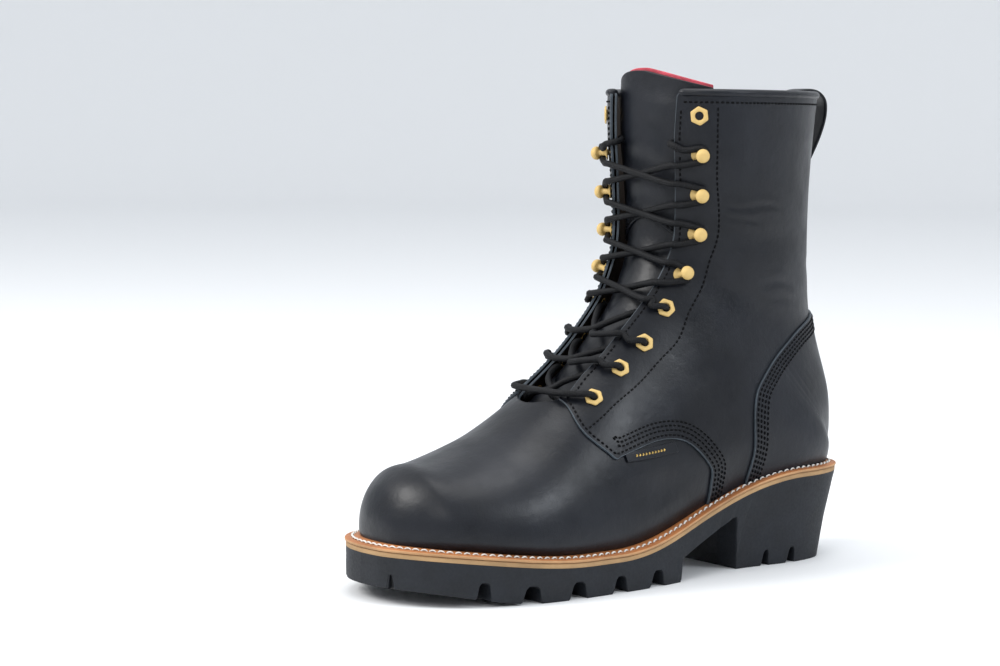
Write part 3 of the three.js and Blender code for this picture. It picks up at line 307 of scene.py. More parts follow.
def section_lines(rows, side, steps=90):
    """Fine lines of half sections, from the ridge down, and their arc lengths."""
    ridge_y, ridge_z, low_y, low_z, outer, inner, widest, crown, power = [c(rows)[:, None] for c in COLUMNS]
    standing = (rows <= HEEL_ROW)[:, None]
    r = rows[:, None]
    stand_y = np.minimum(LOW_STANDING(np.minimum(r, HEEL_ROW)), FEATHER_HEEL)
    wrap_y, wrap_z = [curve(np.maximum(r - HEEL_ROW, 0)) for curve in LOW_WRAPPING]
    low_y = np.where(standing, stand_y, wrap_y)
    low_z = np.where(standing, welt_top(stand_y), wrap_z)
    line = FEATHER[0] if side > 0 else FEATHER[1]
    foot = np.where(standing, np.maximum(side * width_at(line, low_y), 0), 0)
    wanted = np.maximum(outer if side > 0 else inner, 0)
    half = ((foot * 1.02) ** 8 + wanted**8) ** (1 / 8)
    span = widest / np.maximum(1 - (foot / np.maximum(half, 1e-9)) ** 2, 1e-9) ** (1 / power)
    angle = np.linspace(0, math.pi / 2, steps + 1)[None]
    upper_height = widest + (1 - widest) * np.cos(angle) ** (2 / crown)
    upper_width = half * np.sin(angle)
    t = np.linspace(0, 1, steps + 1)[None, 1:]
    closed = foot < 0.001
    rounded = widest - widest * np.sin(math.pi / 2 * t) ** (2 / power)
    lower_height = np.where(closed, rounded, widest * (1 - t))
    drop = np.maximum((widest - lower_height) / span, 0)
    lower_width = half * np.sqrt(np.maximum(0, 1 - drop**power))
    height = np.hstack([upper_height, lower_height])
    width = np.hstack([upper_width, lower_width])
    y, z = low_y + height * (ridge_y - low_y), low_z + height * (ridge_z - low_z)
    lines = np.stack([side * width, y, z], -1)
    steps_long = np.linalg.norm(np.diff(lines, axis=1), axis=-1)
    arcs = np.hstack([np.zeros((len(rows), 1)), np.cumsum(steps_long, axis=1)])
    return lines, arcs


ROWS = np.arange(0, LAST_ROW + ROW_STEP / 2, ROW_STEP)
PARTS = np.linspace(-1, 1, 2 * HALF_COLUMNS + 1)


def section_grid():
    halves = {}
    for side in (1, -1):
        lines, arcs = section_lines(ROWS, side)
        grid = np.empty((len(ROWS), HALF_COLUMNS + 1, 3))
        for i in range(len(ROWS)):
            want = np.linspace(0, arcs[i, -1], HALF_COLUMNS + 1)
            for axis in range(3):
                grid[i, :, axis] = np.interp(want, arcs[i], lines[i, :, axis])
        halves[side] = grid, arcs[:, -1]
    grid = np.concatenate([halves[-1][0][:, ::-1], halves[1][0][:, 1:]], axis=1)
    return grid, {side: halves[side][1] for side in halves}


def blended(grid):
    """Neighbouring sections are mixed round the heel, where standing ones give way to wrapping ones."""
    reach = (1.2 * smooth(1.1 - np.abs(ROWS - HEEL_ROW) / 5.5)[:, None]
             * smooth((1 - np.abs(PARTS)) / 0.3)[None]
             + 0.9 * np.exp(-(((ROWS - 7.8) / 1.9) ** 2))[:, None])
    total = np.zeros_like(grid)
    weights = 0
    columns = np.arange(grid.shape[1])[None]
    for step in (-2, -1.3, -0.65, 0, 0.65, 1.3, 2):
        weight = math.exp(-step * step / 2)
        at = np.clip((ROWS[:, None] + step * reach) / ROW_STEP, 0, len(ROWS) - 1.001)
        i = at.astype(int)
        f = (at - i)[..., None]
        total += weight * (grid[i, columns] * (1 - f) + grid[i + 1, columns] * f)
        weights += weight
    return total / weights


def grid_normals(grid, wrap_from=None):
    sideways = np.gradient(grid, axis=1)
    if wrap_from is not None:
        seam = grid[wrap_from:, 1] - grid[wrap_from:, -2]
        sideways[wrap_from:, 0] = seam
        sideways[wrap_from:, -1] = seam
    normals = np.cross(sideways, np.gradient(grid, axis=0))
    return unit(normals)


# Creases worked in one by one: side (1 outer, -1 inner, 0 both), y and z in the side view as for the edges, then
# depth and half width in millimetres.
CREASES = [
    (1, [(0.650, 0.770), (0.690, 0.758), (0.745, 0.765), (0.790, 0.752)], 0.34, 1.5),
    (1, [(0.655, 0.742), (0.700, 0.735), (0.735, 0.728)], 0.26, 1.4),
    (1, [(0.735, 0.590), (0.785, 0.603), (0.840, 0.590)], 0.30, 1.8),
    (1, [(0.760, 0.560), (0.810, 0.566), (0.850, 0.548)], 0.24, 1.7),
    (1, [(0.640, 0.610), (0.730, 0.560), (0.830, 0.470)], 0.55, 7.5),
    (1, [(0.660, 0.720), (0.740, 0.690), (0.850, 0.700)], 0.35, 6.5),
    (1, [(0.600, 0.440), (0.655, 0.405), (0.700, 0.350)], 0.38, 6.0),
    (-1, [(0.650, 0.700), (0.730, 0.660), (0.810, 0.660)], 0.45, 5.0),
    (-1, [(0.660, 0.590), (0.740, 0.555), (0.830, 0.580)], 0.40, 5.0),
    (-1, [(0.690, 0.840), (0.770, 0.810), (0.840, 0.820)], 0.25, 4.0),
    (-1, [(0.600, 0.440), (0.655, 0.405), (0.700, 0.350)], 0.38, 6.0),
    (0, [(0.900, 0.640), (0.945, 0.625), (0.990, 0.630)], 0.30, 4.0),
]


def line_distance(line, y, z):
    """Distance to a polyline in the side view, and how far along it (0 to 1) the nearest point is."""
    best = np.full(y.shape, 1e9)
    where = np.zeros(y.shape)
    line = np.asarray(line, float)
    for k in range(len(line) - 1):
        a, b = line[k], line[k + 1]
        run = b - a
        t = np.clip(((y - a[0]) * run[0] + (z - a[1]) * run[1]) / max(run @ run, 1e-12), 0, 1)
        distance = np.hypot(y - a[0] - t * run[0], z - a[1] - t * run[1])
        nearer = distance < best
        best = np.where(nearer, distance, best)
        where = np.where(nearer, (k + t) / (len(line) - 1), where)
    return best, where


def in_polygon(polygon, y, z):
    inside = np.zeros(y.shape, bool)
    polygon = np.asarray(polygon, float)
    for (ay, az), (by, bz) in zip(polygon, np.roll(polygon, -1, axis=0)):
        if az == bz:
            continue
        crosses = ((az > z) != (bz > z)) & (y < (by - ay) * (z - az) / (bz - az) + ay)
        inside ^= crosses
    return inside


def curve_points(points, steps=10):
    """A smooth line through side-view points given as shares, in millimetres."""
    y = natural_curve(along([p[0] for p in points]))
    z = natural_curve([p[1] * COLLAR for p in points])
    t = np.linspace(0, len(points) - 1, (len(points) - 1) * steps + 1)
    return np.stack([y(t), z(t)], -1)


def creased(grid, normals):
    y, z = grid[..., 1], grid[..., 2]
    depth = np.zeros(y.shape)
    for side, points, deep, wide in CREASES:
        distance, where = line_distance(curve_points(points), y, z)
        trough = np.exp(-((distance / wide) ** 2))
        ridge = np.exp(-(((distance - 2.1 * wide) / (1.3 * wide)) ** 2))
        wave = trough - 0.45 * ridge
        fade = smooth(where / 0.25) * smooth((1 - where) / 0.25)
        fade = np.where((where <= 0) | (where >= 1), 0, fade)
        sided = 1 if side == 0 else smooth(side * grid[..., 0] / 18)
        depth += deep * wave * fade * sided
    # Broad, shallow unevenness of worn leather.
    uneven = (np.sin(y / 24 + 1.3 * np.sin(z / 31)) * np.sin(z / 27 + grid[..., 0] / 37)
              + 0.4 * np.sin(y / 15 + z / 19) * np.sin(grid[..., 0] / 17 + z / 14))
    depth += 0.07 * uneven * smooth((z - 45) / 25) * smooth((COLLAR - 8 - z) / 20)
    # The leather is fuller on both sides of the heel's back and tucked in over the welt.
    round_back = np.clip(2 * np.abs(normals[..., 0]) * np.maximum(normals[..., 1], 0), 0, 1) ** 0.8
    fuller = (1.0 * smooth((z - 60) / 30) + 3.4 * np.exp(-(((z - 82) / 25) ** 2))
              + 2.2 * np.exp(-(((z - 65) / 9) ** 2)) - 4.2 * np.exp(-(((z - 50) / 7) ** 2)))
    added = fuller * round_back
    for _ in range(12):
        added[1:-1] = (added[:-2] + 2 * added[1:-1] + added[2:]) / 4
        added[:, 1:-1] = (added[:, :-2] + 2 * added[:, 1:-1] + added[:, 2:]) / 4
    depth -= added
    return grid - normals * depth[..., None]


HEEL_INDEX = round(HEEL_ROW / ROW_STEP)
_sections, ARC_TOTAL = section_grid()
PLAIN = blended(_sections)
PLAIN = creased(PLAIN, grid_normals(PLAIN, HEEL_INDEX))
FACE = turned(PLAIN)
FACE_NORMALS = grid_normals(FACE, HEEL_INDEX)
FACE_NORMALS[0] = (0, -1, 0)


def sample(grid, rows, parts):
    """Values of a grid over the face at any rows and parts."""
    i = np.clip(np.asarray(rows, float) / ROW_STEP, 0, len(ROWS) - 1.001)
    j = np.clip((np.asarray(parts, float) + 1) * HALF_COLUMNS, 0, 2 * HALF_COLUMNS - 0.001)
    a, b = i.astype(int), j.astype(int)
    f, g = (i - a), (j - b)
    if grid.ndim == 3:
        f, g = f[..., None], g[..., None]
    return ((grid[a, b] * (1 - g) + grid[a, b + 1] * g) * (1 - f)
            + (grid[a + 1, b] * (1 - g) + grid[a + 1, b + 1] * g) * f)


def on_surface(field):
    """A side-view distance turned into a distance along the leather."""
    pu, pv = np.gradient(PLAIN, axis=1), np.gradient(PLAIN, axis=0)
    fu, fv = np.gradient(field, axis=1), np.gradient(field, axis=0)
    e, f, g = (pu * pu).sum(-1), (pu * pv).sum(-1), (pv * pv).sum(-1)
    slope = (g * fu**2 - 2 * f * fu * fv + e * fv**2) / np.maximum(e * g - f * f, 1e-6)
    return field / np.clip(np.sqrt(np.maximum(slope, 0)), 0.3, 1.5)


def region(line, closing):
    """Signed distance to an edge line: positive on the side of it that the closing corners hold."""
    y, z = PLAIN[..., 1], PLAIN[..., 2]
    distance, _ = line_distance(line, y, z)
    return on_surface(np.where(in_polygon(np.vstack([line, closing]), y, z), distance, -distance))


def throat_half(z, outer):
    wide = np.interp(z / COLLAR, [p[0] for p in THROAT_EDGE], [p[1] for p in THROAT_EDGE])
    return wide - np.where(outer, np.interp(z / COLLAR, [p[0] for p in NEARER], [p[1] for p in NEARER]), 0)


def build_fields():
    y, z = PLAIN[..., 1], PLAIN[..., 2]
    far, high = along(1.25), 1.3 * COLLAR
    top, low = curve_points(QUARTER_TOP), curve_points(QUARTER_LOW)
    quarter = region(np.vstack([top, low[1:]]), [(far, 0.0784 * COLLAR), (far, high), (along(0.302), high)])
    counter = region(curve_points(COUNTER_EDGE), [(far, 0.0784 * COLLAR), (far, 0.542 * COLLAR)])
    stay_line = curve_points(STAY_LINE)
    stay_line[:, 0] -= 2.1 * smooth((stay_line[:, 1] - 60) / 120)
    stay = region(stay_line, [(far, 0.3140 * COLLAR), (far, high)])
    stay_near = line_distance(stay_line, y, z)[0]
    low_where = line_distance(low, y, z)[1]
    low_seam = region(low, [(far, 0.0784 * COLLAR), (far, high), (along(0.30), high)])
    half = throat_half(z, PLAIN[..., 0] > 0)
    throat = on_surface(np.abs(PLAIN[..., 0]) - half)
    front = (ROWS[:, None] < 12.2) & (PLAIN[..., 2] < 0.36 * COLLAR)
    throat = np.where(front | (ROWS[:, None] < 9), 40.0, throat)
    # Behind the middle of each section the face is always leather.
    throat = np.where(np.abs(PARTS)[None] > 0.5, np.maximum(throat, 6.0), throat)
    collar = collar_cut(y) + 3.4 - z
    return {"quarter": quarter, "counter": counter, "stay": stay, "stay_near": stay_near, "throat": throat,
            "low_seam": low_seam, "low_where": low_where, "collar": collar}


def collar_cut(y):
    return COLLAR - BINDING - COLLAR_FALL * (share_of(y) - 0.3)


FIELDS = build_fields()


def throat_arc(side):
    """Arc length from the ridge to the throat's edge on each row."""
    half = PLAIN[:, HALF_COLUMNS:] if side > 0 else PLAIN[:, HALF_COLUMNS::-1]
    opening = throat_half(half[:, 0, 2], side > 0)
    result = np.empty(len(ROWS))
    for i in range(len(ROWS)):
        widths = np.maximum.accumulate(np.abs(half[i, :, 0]))
        arcs = np.linspace(0, ARC_TOTAL[side][i], HALF_COLUMNS + 1)
        result[i] = np.interp(max(opening[i], 0), widths, arcs)
    return result


THROAT_ARC = {side: throat_arc(side) for side in (1, -1)}


def facing_place(height, side, setback):
    """Row and part of a place behind the throat's edge, at a height on the side view."""
    first = round(9 / ROW_STEP)
    parts = side * np.clip((THROAT_ARC[side] + setback) / np.maximum(ARC_TOTAL[side], 0.001), 0, 1)
    z = sample(PLAIN, ROWS, parts)[:, 2]
    row = np.interp(height, z[first:], ROWS[first:])
    return row, float(np.interp(row, ROWS, parts))


def facing_point(height, side, setback, lift):
    row, part = facing_place(height, side, setback)
    return sample(FACE, row, part) + sample(FACE_NORMALS, row, part) * lift


# Meshes
def mesh_object(name, vertices, faces, normals=None):
    mesh = bpy.data.meshes.new(name)
    mesh.from_pydata(np.asarray(vertices).tolist(), [], faces)
    mesh.update()
    mesh.shade_smooth()
    if normals is not None:
        mesh.normals_split_custom_set_from_vertices(np.asarray(normals).tolist())
    made = bpy.data.objects.new(name, mesh)
    bpy.context.scene.collection.objects.link(made)
    return made


class Cells:
    """Polygons of the part of a grid where a field is over a level, with its cut edge put in exactly."""

    def __init__(self, shape, field, level, wrap_from=None, pole=False, loop=False):
        self.points = []
        self.faces = []
        self.index = {}
        rows, columns = shape
        self.shape, self.field, self.level = shape, field, level
        self.wrap_from, self.pole, self.loop = wrap_from, pole, loop
        inside = field >= level
        for i in range(rows - 1):
            four = inside[i, :-1].astype(int) + inside[i, 1:] + inside[i + 1, :-1] + inside[i + 1, 1:]
            for j in np.nonzero(four)[0]:
                corners = [(i, j), (i, j + 1), (i + 1, j + 1), (i + 1, j)]
                if four[j] == 4:
                    face = [self.corner(c) for c in corners]
                else:
                    face = []
                    for a, b in zip(corners, corners[1:] + corners[:1]):
                        if inside[a]:
                            face.append(self.corner(a))
                        if inside[a] != inside[b]:
                            face.append(self.crossing(a, b))
                kept = [v for k, v in enumerate(face) if v != face[k - 1]]
                if len(set(kept)) >= 3:
                    self.faces.append(kept)
        self.places = np.array(self.points)

    def same(self, corner):
        i, j = corner
        if self.pole and i == 0:
            return (0, 0)
        last = self.shape[1] - 1
        if j == last and (self.loop or (self.wrap_from is not None and i >= self.wrap_from)):
            return (i, 0)
        return (i, j)

    def corner(self, corner):
        key = self.same(corner)
        if key not in self.index:
            self.index[key] = len(self.points)
            self.points.append((float(key[0]), float(key[1])))
        return self.index[key]

    def crossing(self, a, b):
        first, second = self.same(a), self.same(b)
        key = (first, second) if first < second else (second, first)
        if key not in self.index:
            fa, fb = self.field[a], self.field[b]
            t = float(np.clip((self.level - fa) / (fb - fa), 0.02, 0.98))
            self.index[key] = len(self.points)
            self.points.append((a[0] + t * (b[0] - a[0]), a[1] + t * (b[1] - a[1])))
        return self.index[key]


def grid_at(grid, places):
    i = np.clip(places[:, 0], 0, grid.shape[0] - 1.0001)
    j = np.clip(places[:, 1], 0, grid.shape[1] - 1.0001)
    a, b = i.astype(int), j.astype(int)
    f, g = (i - a)[:, None], (j - b)[:, None]
    return ((grid[a, b] * (1 - g) + grid[a, b + 1] * g) * (1 - f)
            + (grid[a + 1, b] * (1 - g) + grid[a + 1, b + 1] * g) * f)


def shell(name, grid, normals, field, outer, inner, rim, depth=None, edge=None, **kind):
    """A closed sheet on a grid: its outer face, its inner face and a rounded rim between them."""
    cells = Cells(grid.shape[:2], field, rim, **kind)
    base = grid_at(grid, cells.places)
    out = unit(grid_at(normals, cells.places))
    into = -out if depth is None else unit(grid_at(depth, cells.places))
    top = base + out * outer
    bottom = base + into * -inner
    count = len(base)
    edges = [(f[k], f[(k + 1) % len(f)]) for f in cells.faces for k in range(len(f))]
    known = set(edges)
    border = [(a, b) for a, b in edges if (b, a) not in known]
    tangent = np.zeros_like(base)
    for a, b in border:
        run = base[b] - base[a]
        tangent[a] += run
        tangent[b] += run
    rim_points = sorted({v for edge in border for v in edge})
    number = {v: k for k, v in enumerate(rim_points)}
    r = np.array(rim_points, int)
    away = unit(np.cross(tangent[r], out[r]))
    thick = outer - inner
    drop = min(rim, thick * 0.45)
    ring_heights = [
        (top[r] + away * rim * 0.70 - out[r] * drop * 0.30, unit(out[r] + away)),
        (top[r] + away * rim - out[r] * drop, away),
        (bottom[r] + away * rim - into[r] * drop * 0.6, away),
    ]
    vertices = np.vstack([top, bottom] + [ring for ring, _ in ring_heights])
    shading = np.vstack([out, into] + [n for _, n in ring_heights])
    faces = [list(map(int, f)) for f in cells.faces]
    faces += [[int(v) + count for v in reversed(f)] for f in cells.faces]
    start = 2 * count
    size = len(rim_points)
    for a, b in border:
        levels_a = [a] + [start + k * size + number[a] for k in range(3)] + [a + count]
        levels_b = [b] + [start + k * size + number[b] for k in range(3)] + [b + count]
        for k in range(4):
            faces.append([int(levels_b[k]), int(levels_a[k]), int(levels_a[k + 1]), int(levels_b[k + 1])])
    piece = mesh_object(name, placed(vertices), faces, shading)
    if edge is not None:
        # The first band of the rim keeps the face's leather, the rest is cut edge where the mask says so.
        cut = edge(base[r], cells.places[r])
        slots = np.zeros(len(faces), int)
        first = 2 * len(cells.faces)
        for n, (a, b) in enumerate(border):
            if cut[number[a]] and cut[number[b]]:
                slots[first + 4 * n : first + 4 * n + 3] = 1
        piece.data.polygons.foreach_set("material_index", slots.astype(np.int32))
    return piece


def every_edge(points, places):
    return np.ones(len(points), bool)


def contour(field, level, keep):
    """Lines on the face where a field has a value, as rows and parts, kept where the mask is true."""
    links = {}
    points = {}
    rows, _ = field.shape
    inside = field >= level
    for i in range(rows - 1):
        four = inside[i, :-1].astype(int) + inside[i, 1:] + inside[i + 1, :-1] + inside[i + 1, 1:]
        for j in np.nonzero((four > 0) & (four < 4) & keep[i, :-1])[0]:
            corners = [(i, j), (i, j + 1), (i + 1, j + 1), (i + 1, j)]
            cut = []
            for a, b in zip(corners, corners[1:] + corners[:1]):
                if inside[a] != inside[b] and abs(field[a] - field[b]) < 6:
                    key = (min(a, b), max(a, b))
                    t = (level - field[a]) / (field[b] - field[a])
                    points[key] = (a[0] + t * (b[0] - a[0]), a[1] + t * (b[1] - a[1]))
                    cut.append(key)
            for a, b in zip(cut[::2], cut[1::2]):
                links.setdefault(a, []).append(b)
                links.setdefault(b, []).append(a)
    lines = []
    seen = set()
    starts = [k for k in links if len(links[k]) == 1] + list(links)
    for start in starts:
        if start in seen:
            continue
        line = [start]
        seen.add(start)
        while True:
            ahead = [k for k in links[line[-1]] if k not in seen]
            if not ahead:
                break
            line.append(ahead[0])
            seen.add(ahead[0])
        if len(line) > 4:
            lines.append(np.array([points[k] for k in line]))
    return lines


def stitch_row(lines, grid, normals, height, pitch, length, radius, slant=0.0, first=0.5):
    """Places for stitches along lines on a grid: middle, direction, normal."""
    found = []
    for line in lines:
        base = grid_at(grid, line) + grid_at(normals, line) * height
        arc = np.concatenate([[0], np.cumsum(np.linalg.norm(np.diff(base, axis=0), axis=1))])
        if arc[-1] < 2 * pitch:
            continue
        # The cut points jitter a little, so the line is eased before stitches are set on it.
        even = np.linspace(0, arc[-1], max(4, int(arc[-1] / 1.5)))
        eased = np.stack([np.interp(even, arc, base[:, k]) for k in range(3)], -1)
        for _ in range(3):
            eased[1:-1] = (eased[:-2] + 2 * eased[1:-1] + eased[2:]) / 4
        count = int(arc[-1] / pitch)
        at = (np.arange(count) + first) * pitch
        at = at[at < arc[-1] - pitch * 0.4]
        middle = np.stack([np.interp(at, even, eased[:, k]) for k in range(3)], -1)
        ahead = np.stack([np.interp(at + 0.8, even, eased[:, k]) - np.interp(at - 0.8, even, eased[:, k])
                          for k in range(3)], -1)
        up = unit(np.stack([np.interp(at, arc, grid_at(normals, line)[:, k]) for k in range(3)], -1))
        run = unit(ahead)
        across = np.cross(up, run)
        run = unit(run * math.cos(slant) + across * math.sin(slant))
        found += [(m, d, n, length, radius) for m, d, n in zip(middle, run, up)]
    return found


def stitches(name, places, sides=6):
    """Threads: each dips into the leather at both ends and stands a little out between."""
    along_thread = np.linspace(-0.5, 0.5, 7)
    lift = np.array([-0.9, 0.25, 0.75, 0.9, 0.75, 0.25, -0.9])
    thick = np.array([0.72, 0.95, 1, 1, 1, 0.95, 0.72])
    angles = np.arange(sides) / sides * 2 * math.pi
    vertices, faces, shading = [], [], []
    for middle, run, up, length, radius in places:
        across = np.cross(up, run)
        start = len(vertices)
        for t, h, k in zip(along_thread, lift, thick):
            centre = middle + run * length * t + up * radius * h
            for angle in angles:
                ray = across * math.cos(angle) * 1.15 + up * math.sin(angle) * 0.8
                vertices.append(centre + ray * radius * k)
                shading.append(ray)
        for ring in range(6):
            for s in range(sides):
                a, b = start + ring * sides + s, start + ring * sides + (s + 1) % sides
                faces.append([a, b, b + sides, a + sides])
        faces.append([start + s for s in reversed(range(sides))])
        faces.append([start + 6 * sides + s for s in range(sides)])
    return mesh_object(name, placed(vertices), faces, unit(np.array(shading)))


def ring_solid(name, profile):
    """A strip all the way round the sole. profile: inset and height, as numbers or functions of y."""
    loops = []
    for inset, height in profile:
        loop = loop_outline(inset)
        loops.append(np.column_stack([loop, height(loop[:, 1])]))
    rings = np.array(loops)
    levels, count = rings.shape[:2]
    vertices = rings.reshape(-1, 3)
    faces = []
    for k in range(levels):
        n = (k + 1) % levels
        for i in range(count):
            j = (i + 1) % count
            faces.append([k * count + i, k * count + j, n * count + j, n * count + i])
    made = mesh_object(name, placed(vertices), faces)
    return made


def tube(path, radius, sides=16, step=0.32, braid=0.0):
    """A round cord along points, with a braid worked into its surface."""
    path = np.asarray(path, float)
    arc = np.concatenate([[0], np.cumsum(np.linalg.norm(np.diff(path, axis=0), axis=1))])
    count = max(8, int(arc[-1] / step))
    at = np.linspace(0, arc[-1], count)
    centre = np.stack([np.interp(at, arc, path[:, k]) for k in range(3)], -1)
    for _ in range(4):
        centre[1:-1] = (centre[:-2] + 2 * centre[1:-1] + centre[2:]) / 4
    run = unit(np.gradient(centre, axis=0))
    normal = np.empty_like(centre)
    n = unit(np.cross(run[0], (0.3, 0.2, 1.0)))
    for i in range(count):
        n = unit(n - run[i] * (n @ run[i]))
        normal[i] = n
    other = np.cross(run, normal)
    angles = np.arange(sides) / sides * 2 * math.pi
    a, s = np.meshgrid(angles, at)
    weave = np.sin(4 * a + s * 2.6) * np.sin(4 * a - s * 2.6)
    r = radius * (1 + braid * weave)
    from_end = np.maximum(0, np.minimum(at, arc[-1] - at))
    ends_shape = np.minimum(1, np.sqrt(from_end / (radius * 0.8)) * 0.9 + 0.1)
    r = r * ends_shape[:, None]
    points = (centre[:, None] + normal[:, None] * (r * np.cos(a))[..., None]
              + other[:, None] * (r * np.sin(a))[..., None])
    faces = []
    for i in range(count - 1):
        for k in range(sides):
            m = (k + 1) % sides
            faces.append([i * sides + k, i * sides + m, (i + 1) * sides + m, (i + 1) * sides + k])
    faces.append([k for k in reversed(range(sides))])
    faces.append([(count - 1) * sides + k for k in range(sides)])
    return points.reshape(-1, 3), faces


def joined(name, parts):
    vertices, faces = [], []
    for points, polygons in parts:
        start = len(vertices)
        vertices.extend(np.asarray(points).tolist())
        faces.extend([[v + start for v in face] for face in polygons])
    return mesh_object(name, placed(vertices), faces)


def spline(points, step=0.6):
    """Catmull-Rom line through points, evenly fine."""
    p = np.asarray(points, float)
    p = np.vstack([2 * p[0] - p[1], p, 2 * p[-1] - p[-2]])
    line = []
    for k in range(1, len(p) - 2):
        count = max(2, int(np.linalg.norm(p[k + 1] - p[k]) / step))
        gaps = np.linalg.norm(np.diff(p[k - 1 : k + 3], axis=0), axis=1)
        knots = np.concatenate([[0], np.cumsum(np.maximum(gaps, 1e-6) ** 0.5)])
        for t in np.linspace(knots[1], knots[2], count, endpoint=False):
            q = [p[k - 1 + m] for m in range(4)]
            for level in range(1, 4):
                q = [
                    ((knots[m + level] - t) * q[m] + (t - knots[m]) * q[m + 1]) / (knots[m + level] - knots[m])
                    for m in range(4 - level)
                ]
                if level == 2:
                    q = [((knots[2] - t) * q[0] + (t - knots[1]) * q[1]) / (knots[2] - knots[1])]
                    break
            line.append(q[0])
    line.append(p[-2])
    return np.array(line)


def lathe(profile, sides, shape=None):
    """A turned solid along +Z. profile: radius, height. shape gives a factor on the radius by angle and ring."""
    angles = np.arange(sides) / sides * 2 * math.pi
    points = []
    for k, (radius, height) in enumerate(profile):
        factor = 1 if shape is None else shape(angles, k)
        r = radius * factor
        points.append(np.stack([r * np.cos(angles), r * np.sin(angles), np.full(sides, height)], -1))
    points = np.array(points)
    levels = len(profile)
    faces = []
    for k in range(levels - 1):
        for i in range(sides):
            j = (i + 1) % sides
            faces.append([k * sides + i, k * sides + j, (k + 1) * sides + j, (k + 1) * sides + i])
    return points.reshape(-1, 3), faces, levels, sides


def set_on(points, row, part, lift, turn=0.0):
    """Moves a solid made along +Z onto the face."""
    normal = unit(sample(FACE_NORMALS, row, part))
    up = np.array([0.0, 0.0, 1.0])
    y_axis = unit(up - normal * (normal @ up))
    x_axis = np.cross(y_axis, normal)
    c, s = math.cos(turn), math.sin(turn)
    x2, y2 = x_axis * c + y_axis * s, -x_axis * s + y_axis * c
    origin = sample(FACE, row, part) + normal * lift
    return origin + points[:, :1] * x2 + points[:, 1:2] * y2 + points[:, 2:] * normal


# Materials
def new_material(name, color, roughness, metallic=0.0):
    material = bpy.data.materials.new(name)
    material.use_nodes = True
    shader = material.node_tree.nodes["Principled BSDF"]
    shader.inputs["Base Color"].default_value = (*color, 1)
    shader.inputs["Roughness"].default_value = roughness
    shader.inputs["Metallic"].default_value = metallic
    return material, material.node_tree, shader


def add_node(tree, kind, **values):
    node = tree.nodes.new(kind)
    for key, value in values.items():
        if key in node.inputs:
            node.inputs[key].default_value = value
        else:
            setattr(node, key, value)
    return node


def noise(tree, scale, detail=3.0, roughness=0.5):
    place = tree.nodes.get("Texture Coordinate") or tree.nodes.new("ShaderNodeTexCoord")
    node = add_node(tree, "ShaderNodeTexNoise", Scale=scale, Detail=detail, Roughness=roughness)
    tree.links.new(place.outputs["Object"], node.inputs["Vector"])
    return node


def ranged(tree, source, low, high, out_low, out_high):
    node = tree.nodes.new("ShaderNodeMapRange")
    for key, value in (("From Min", low), ("From Max", high), ("To Min", out_low), ("To Max", out_high)):
        node.inputs[key].default_value = value
    tree.links.new(source, node.inputs["Value"])
    return node.outputs["Result"]


def bumped(tree, shader, heights):
    """Stacks bumps: each is a value with a strength and a distance in metres."""
    before = None
    for value, strength, distance in heights:
        node = add_node(tree, "ShaderNodeBump", Strength=strength, Distance=distance)
        tree.links.new(value, node.inputs["Height"])
        if before is not None:
            tree.links.new(before, node.inputs["Normal"])
        before = node.outputs["Normal"]
    tree.links.new(before, shader.inputs["Normal"])


def mixed_color(tree, factor, first, second):
    node = tree.nodes.new("ShaderNodeMix")
    node.data_type = "RGBA"
    node.inputs["A"].default_value = (*first, 1)
    node.inputs["B"].default_value = (*second, 1)
    # The colour sockets of this node share their names with the number sockets, so they are picked by kind.
    for socket in node.inputs:
        if socket.type == "RGBA":
            socket.default_value = (*first, 1) if socket.name == "A" else (*second, 1)
    tree.links.new(factor, node.inputs["Factor"])
    return next(s for s in node.outputs if s.type == "RGBA")


def oiled_leather(name, color, roughness, grain=1.0):
    material, tree, shader = new_material(name, color, roughness)
    fine = noise(tree, 2600, 4, 0.6)
    pores = add_node(tree, "ShaderNodeTexVoronoi", Scale=1500.0)
    tree.links.new(tree.nodes["Texture Coordinate"].outputs["Object"], pores.inputs["Vector"])
    pull = noise(tree, 210, 5, 0.6)
    broad = noise(tree, 38, 4, 0.55)
    worn = noise(tree, 14, 5, 0.6)
    tone = mixed_color(tree, ranged(tree, worn.outputs["Fac"], 0.42, 0.68, 0, 1), color,
                       tuple(min(1, c * 1.9 + 0.002) for c in color))
    tree.links.new(tone, shader.inputs["Base Color"])
    tree.links.new(ranged(tree, broad.outputs["Fac"], 0.35, 0.68, roughness - 0.07, roughness + 0.12),
                   shader.inputs["Roughness"])
    shader.inputs["Specular IOR Level"].default_value = 0.26
    shader.inputs["Coat Weight"].default_value = 0.04
    shader.inputs["Coat Roughness"].default_value = 0.30
    bumped(tree, shader, [
        (broad.outputs["Fac"], 0.35 * grain, 0.0016),
        (pull.outputs["Fac"], 0.30 * grain, 0.0005),
        (pores.outputs["Distance"], 0.22 * grain, 0.00012),
        (fine.outputs["Fac"], 0.25 * grain, 0.00010),
    ])
    return material


def plain_material(name, color, roughness, bump_scale, strength, distance, metallic=0.0, spread=0.3, gloss=0.35):
    material, tree, shader = new_material(name, color, roughness, metallic)
    shader.inputs["Specular IOR Level"].default_value = gloss
    grain = noise(tree, bump_scale, 4, 0.6)
    patch = noise(tree, bump_scale / 12, 4, 0.6)
    tone = mixed_color(tree, ranged(tree, patch.outputs["Fac"], 0.35, 0.68, 0, 1),
                       tuple(c * (1 - spread) for c in color), tuple(min(1, c * (1 + spread)) for c in color))
    tree.links.new(tone, shader.inputs["Base Color"])
    tree.links.new(ranged(tree, grain.outputs["Fac"], 0.3, 0.7, roughness - 0.06, roughness + 0.08),
                   shader.inputs["Roughness"])
    bumped(tree, shader, [(grain.outputs["Fac"], strength, distance)])
    return material


def look(name):
    return bpy.data.materials[name]


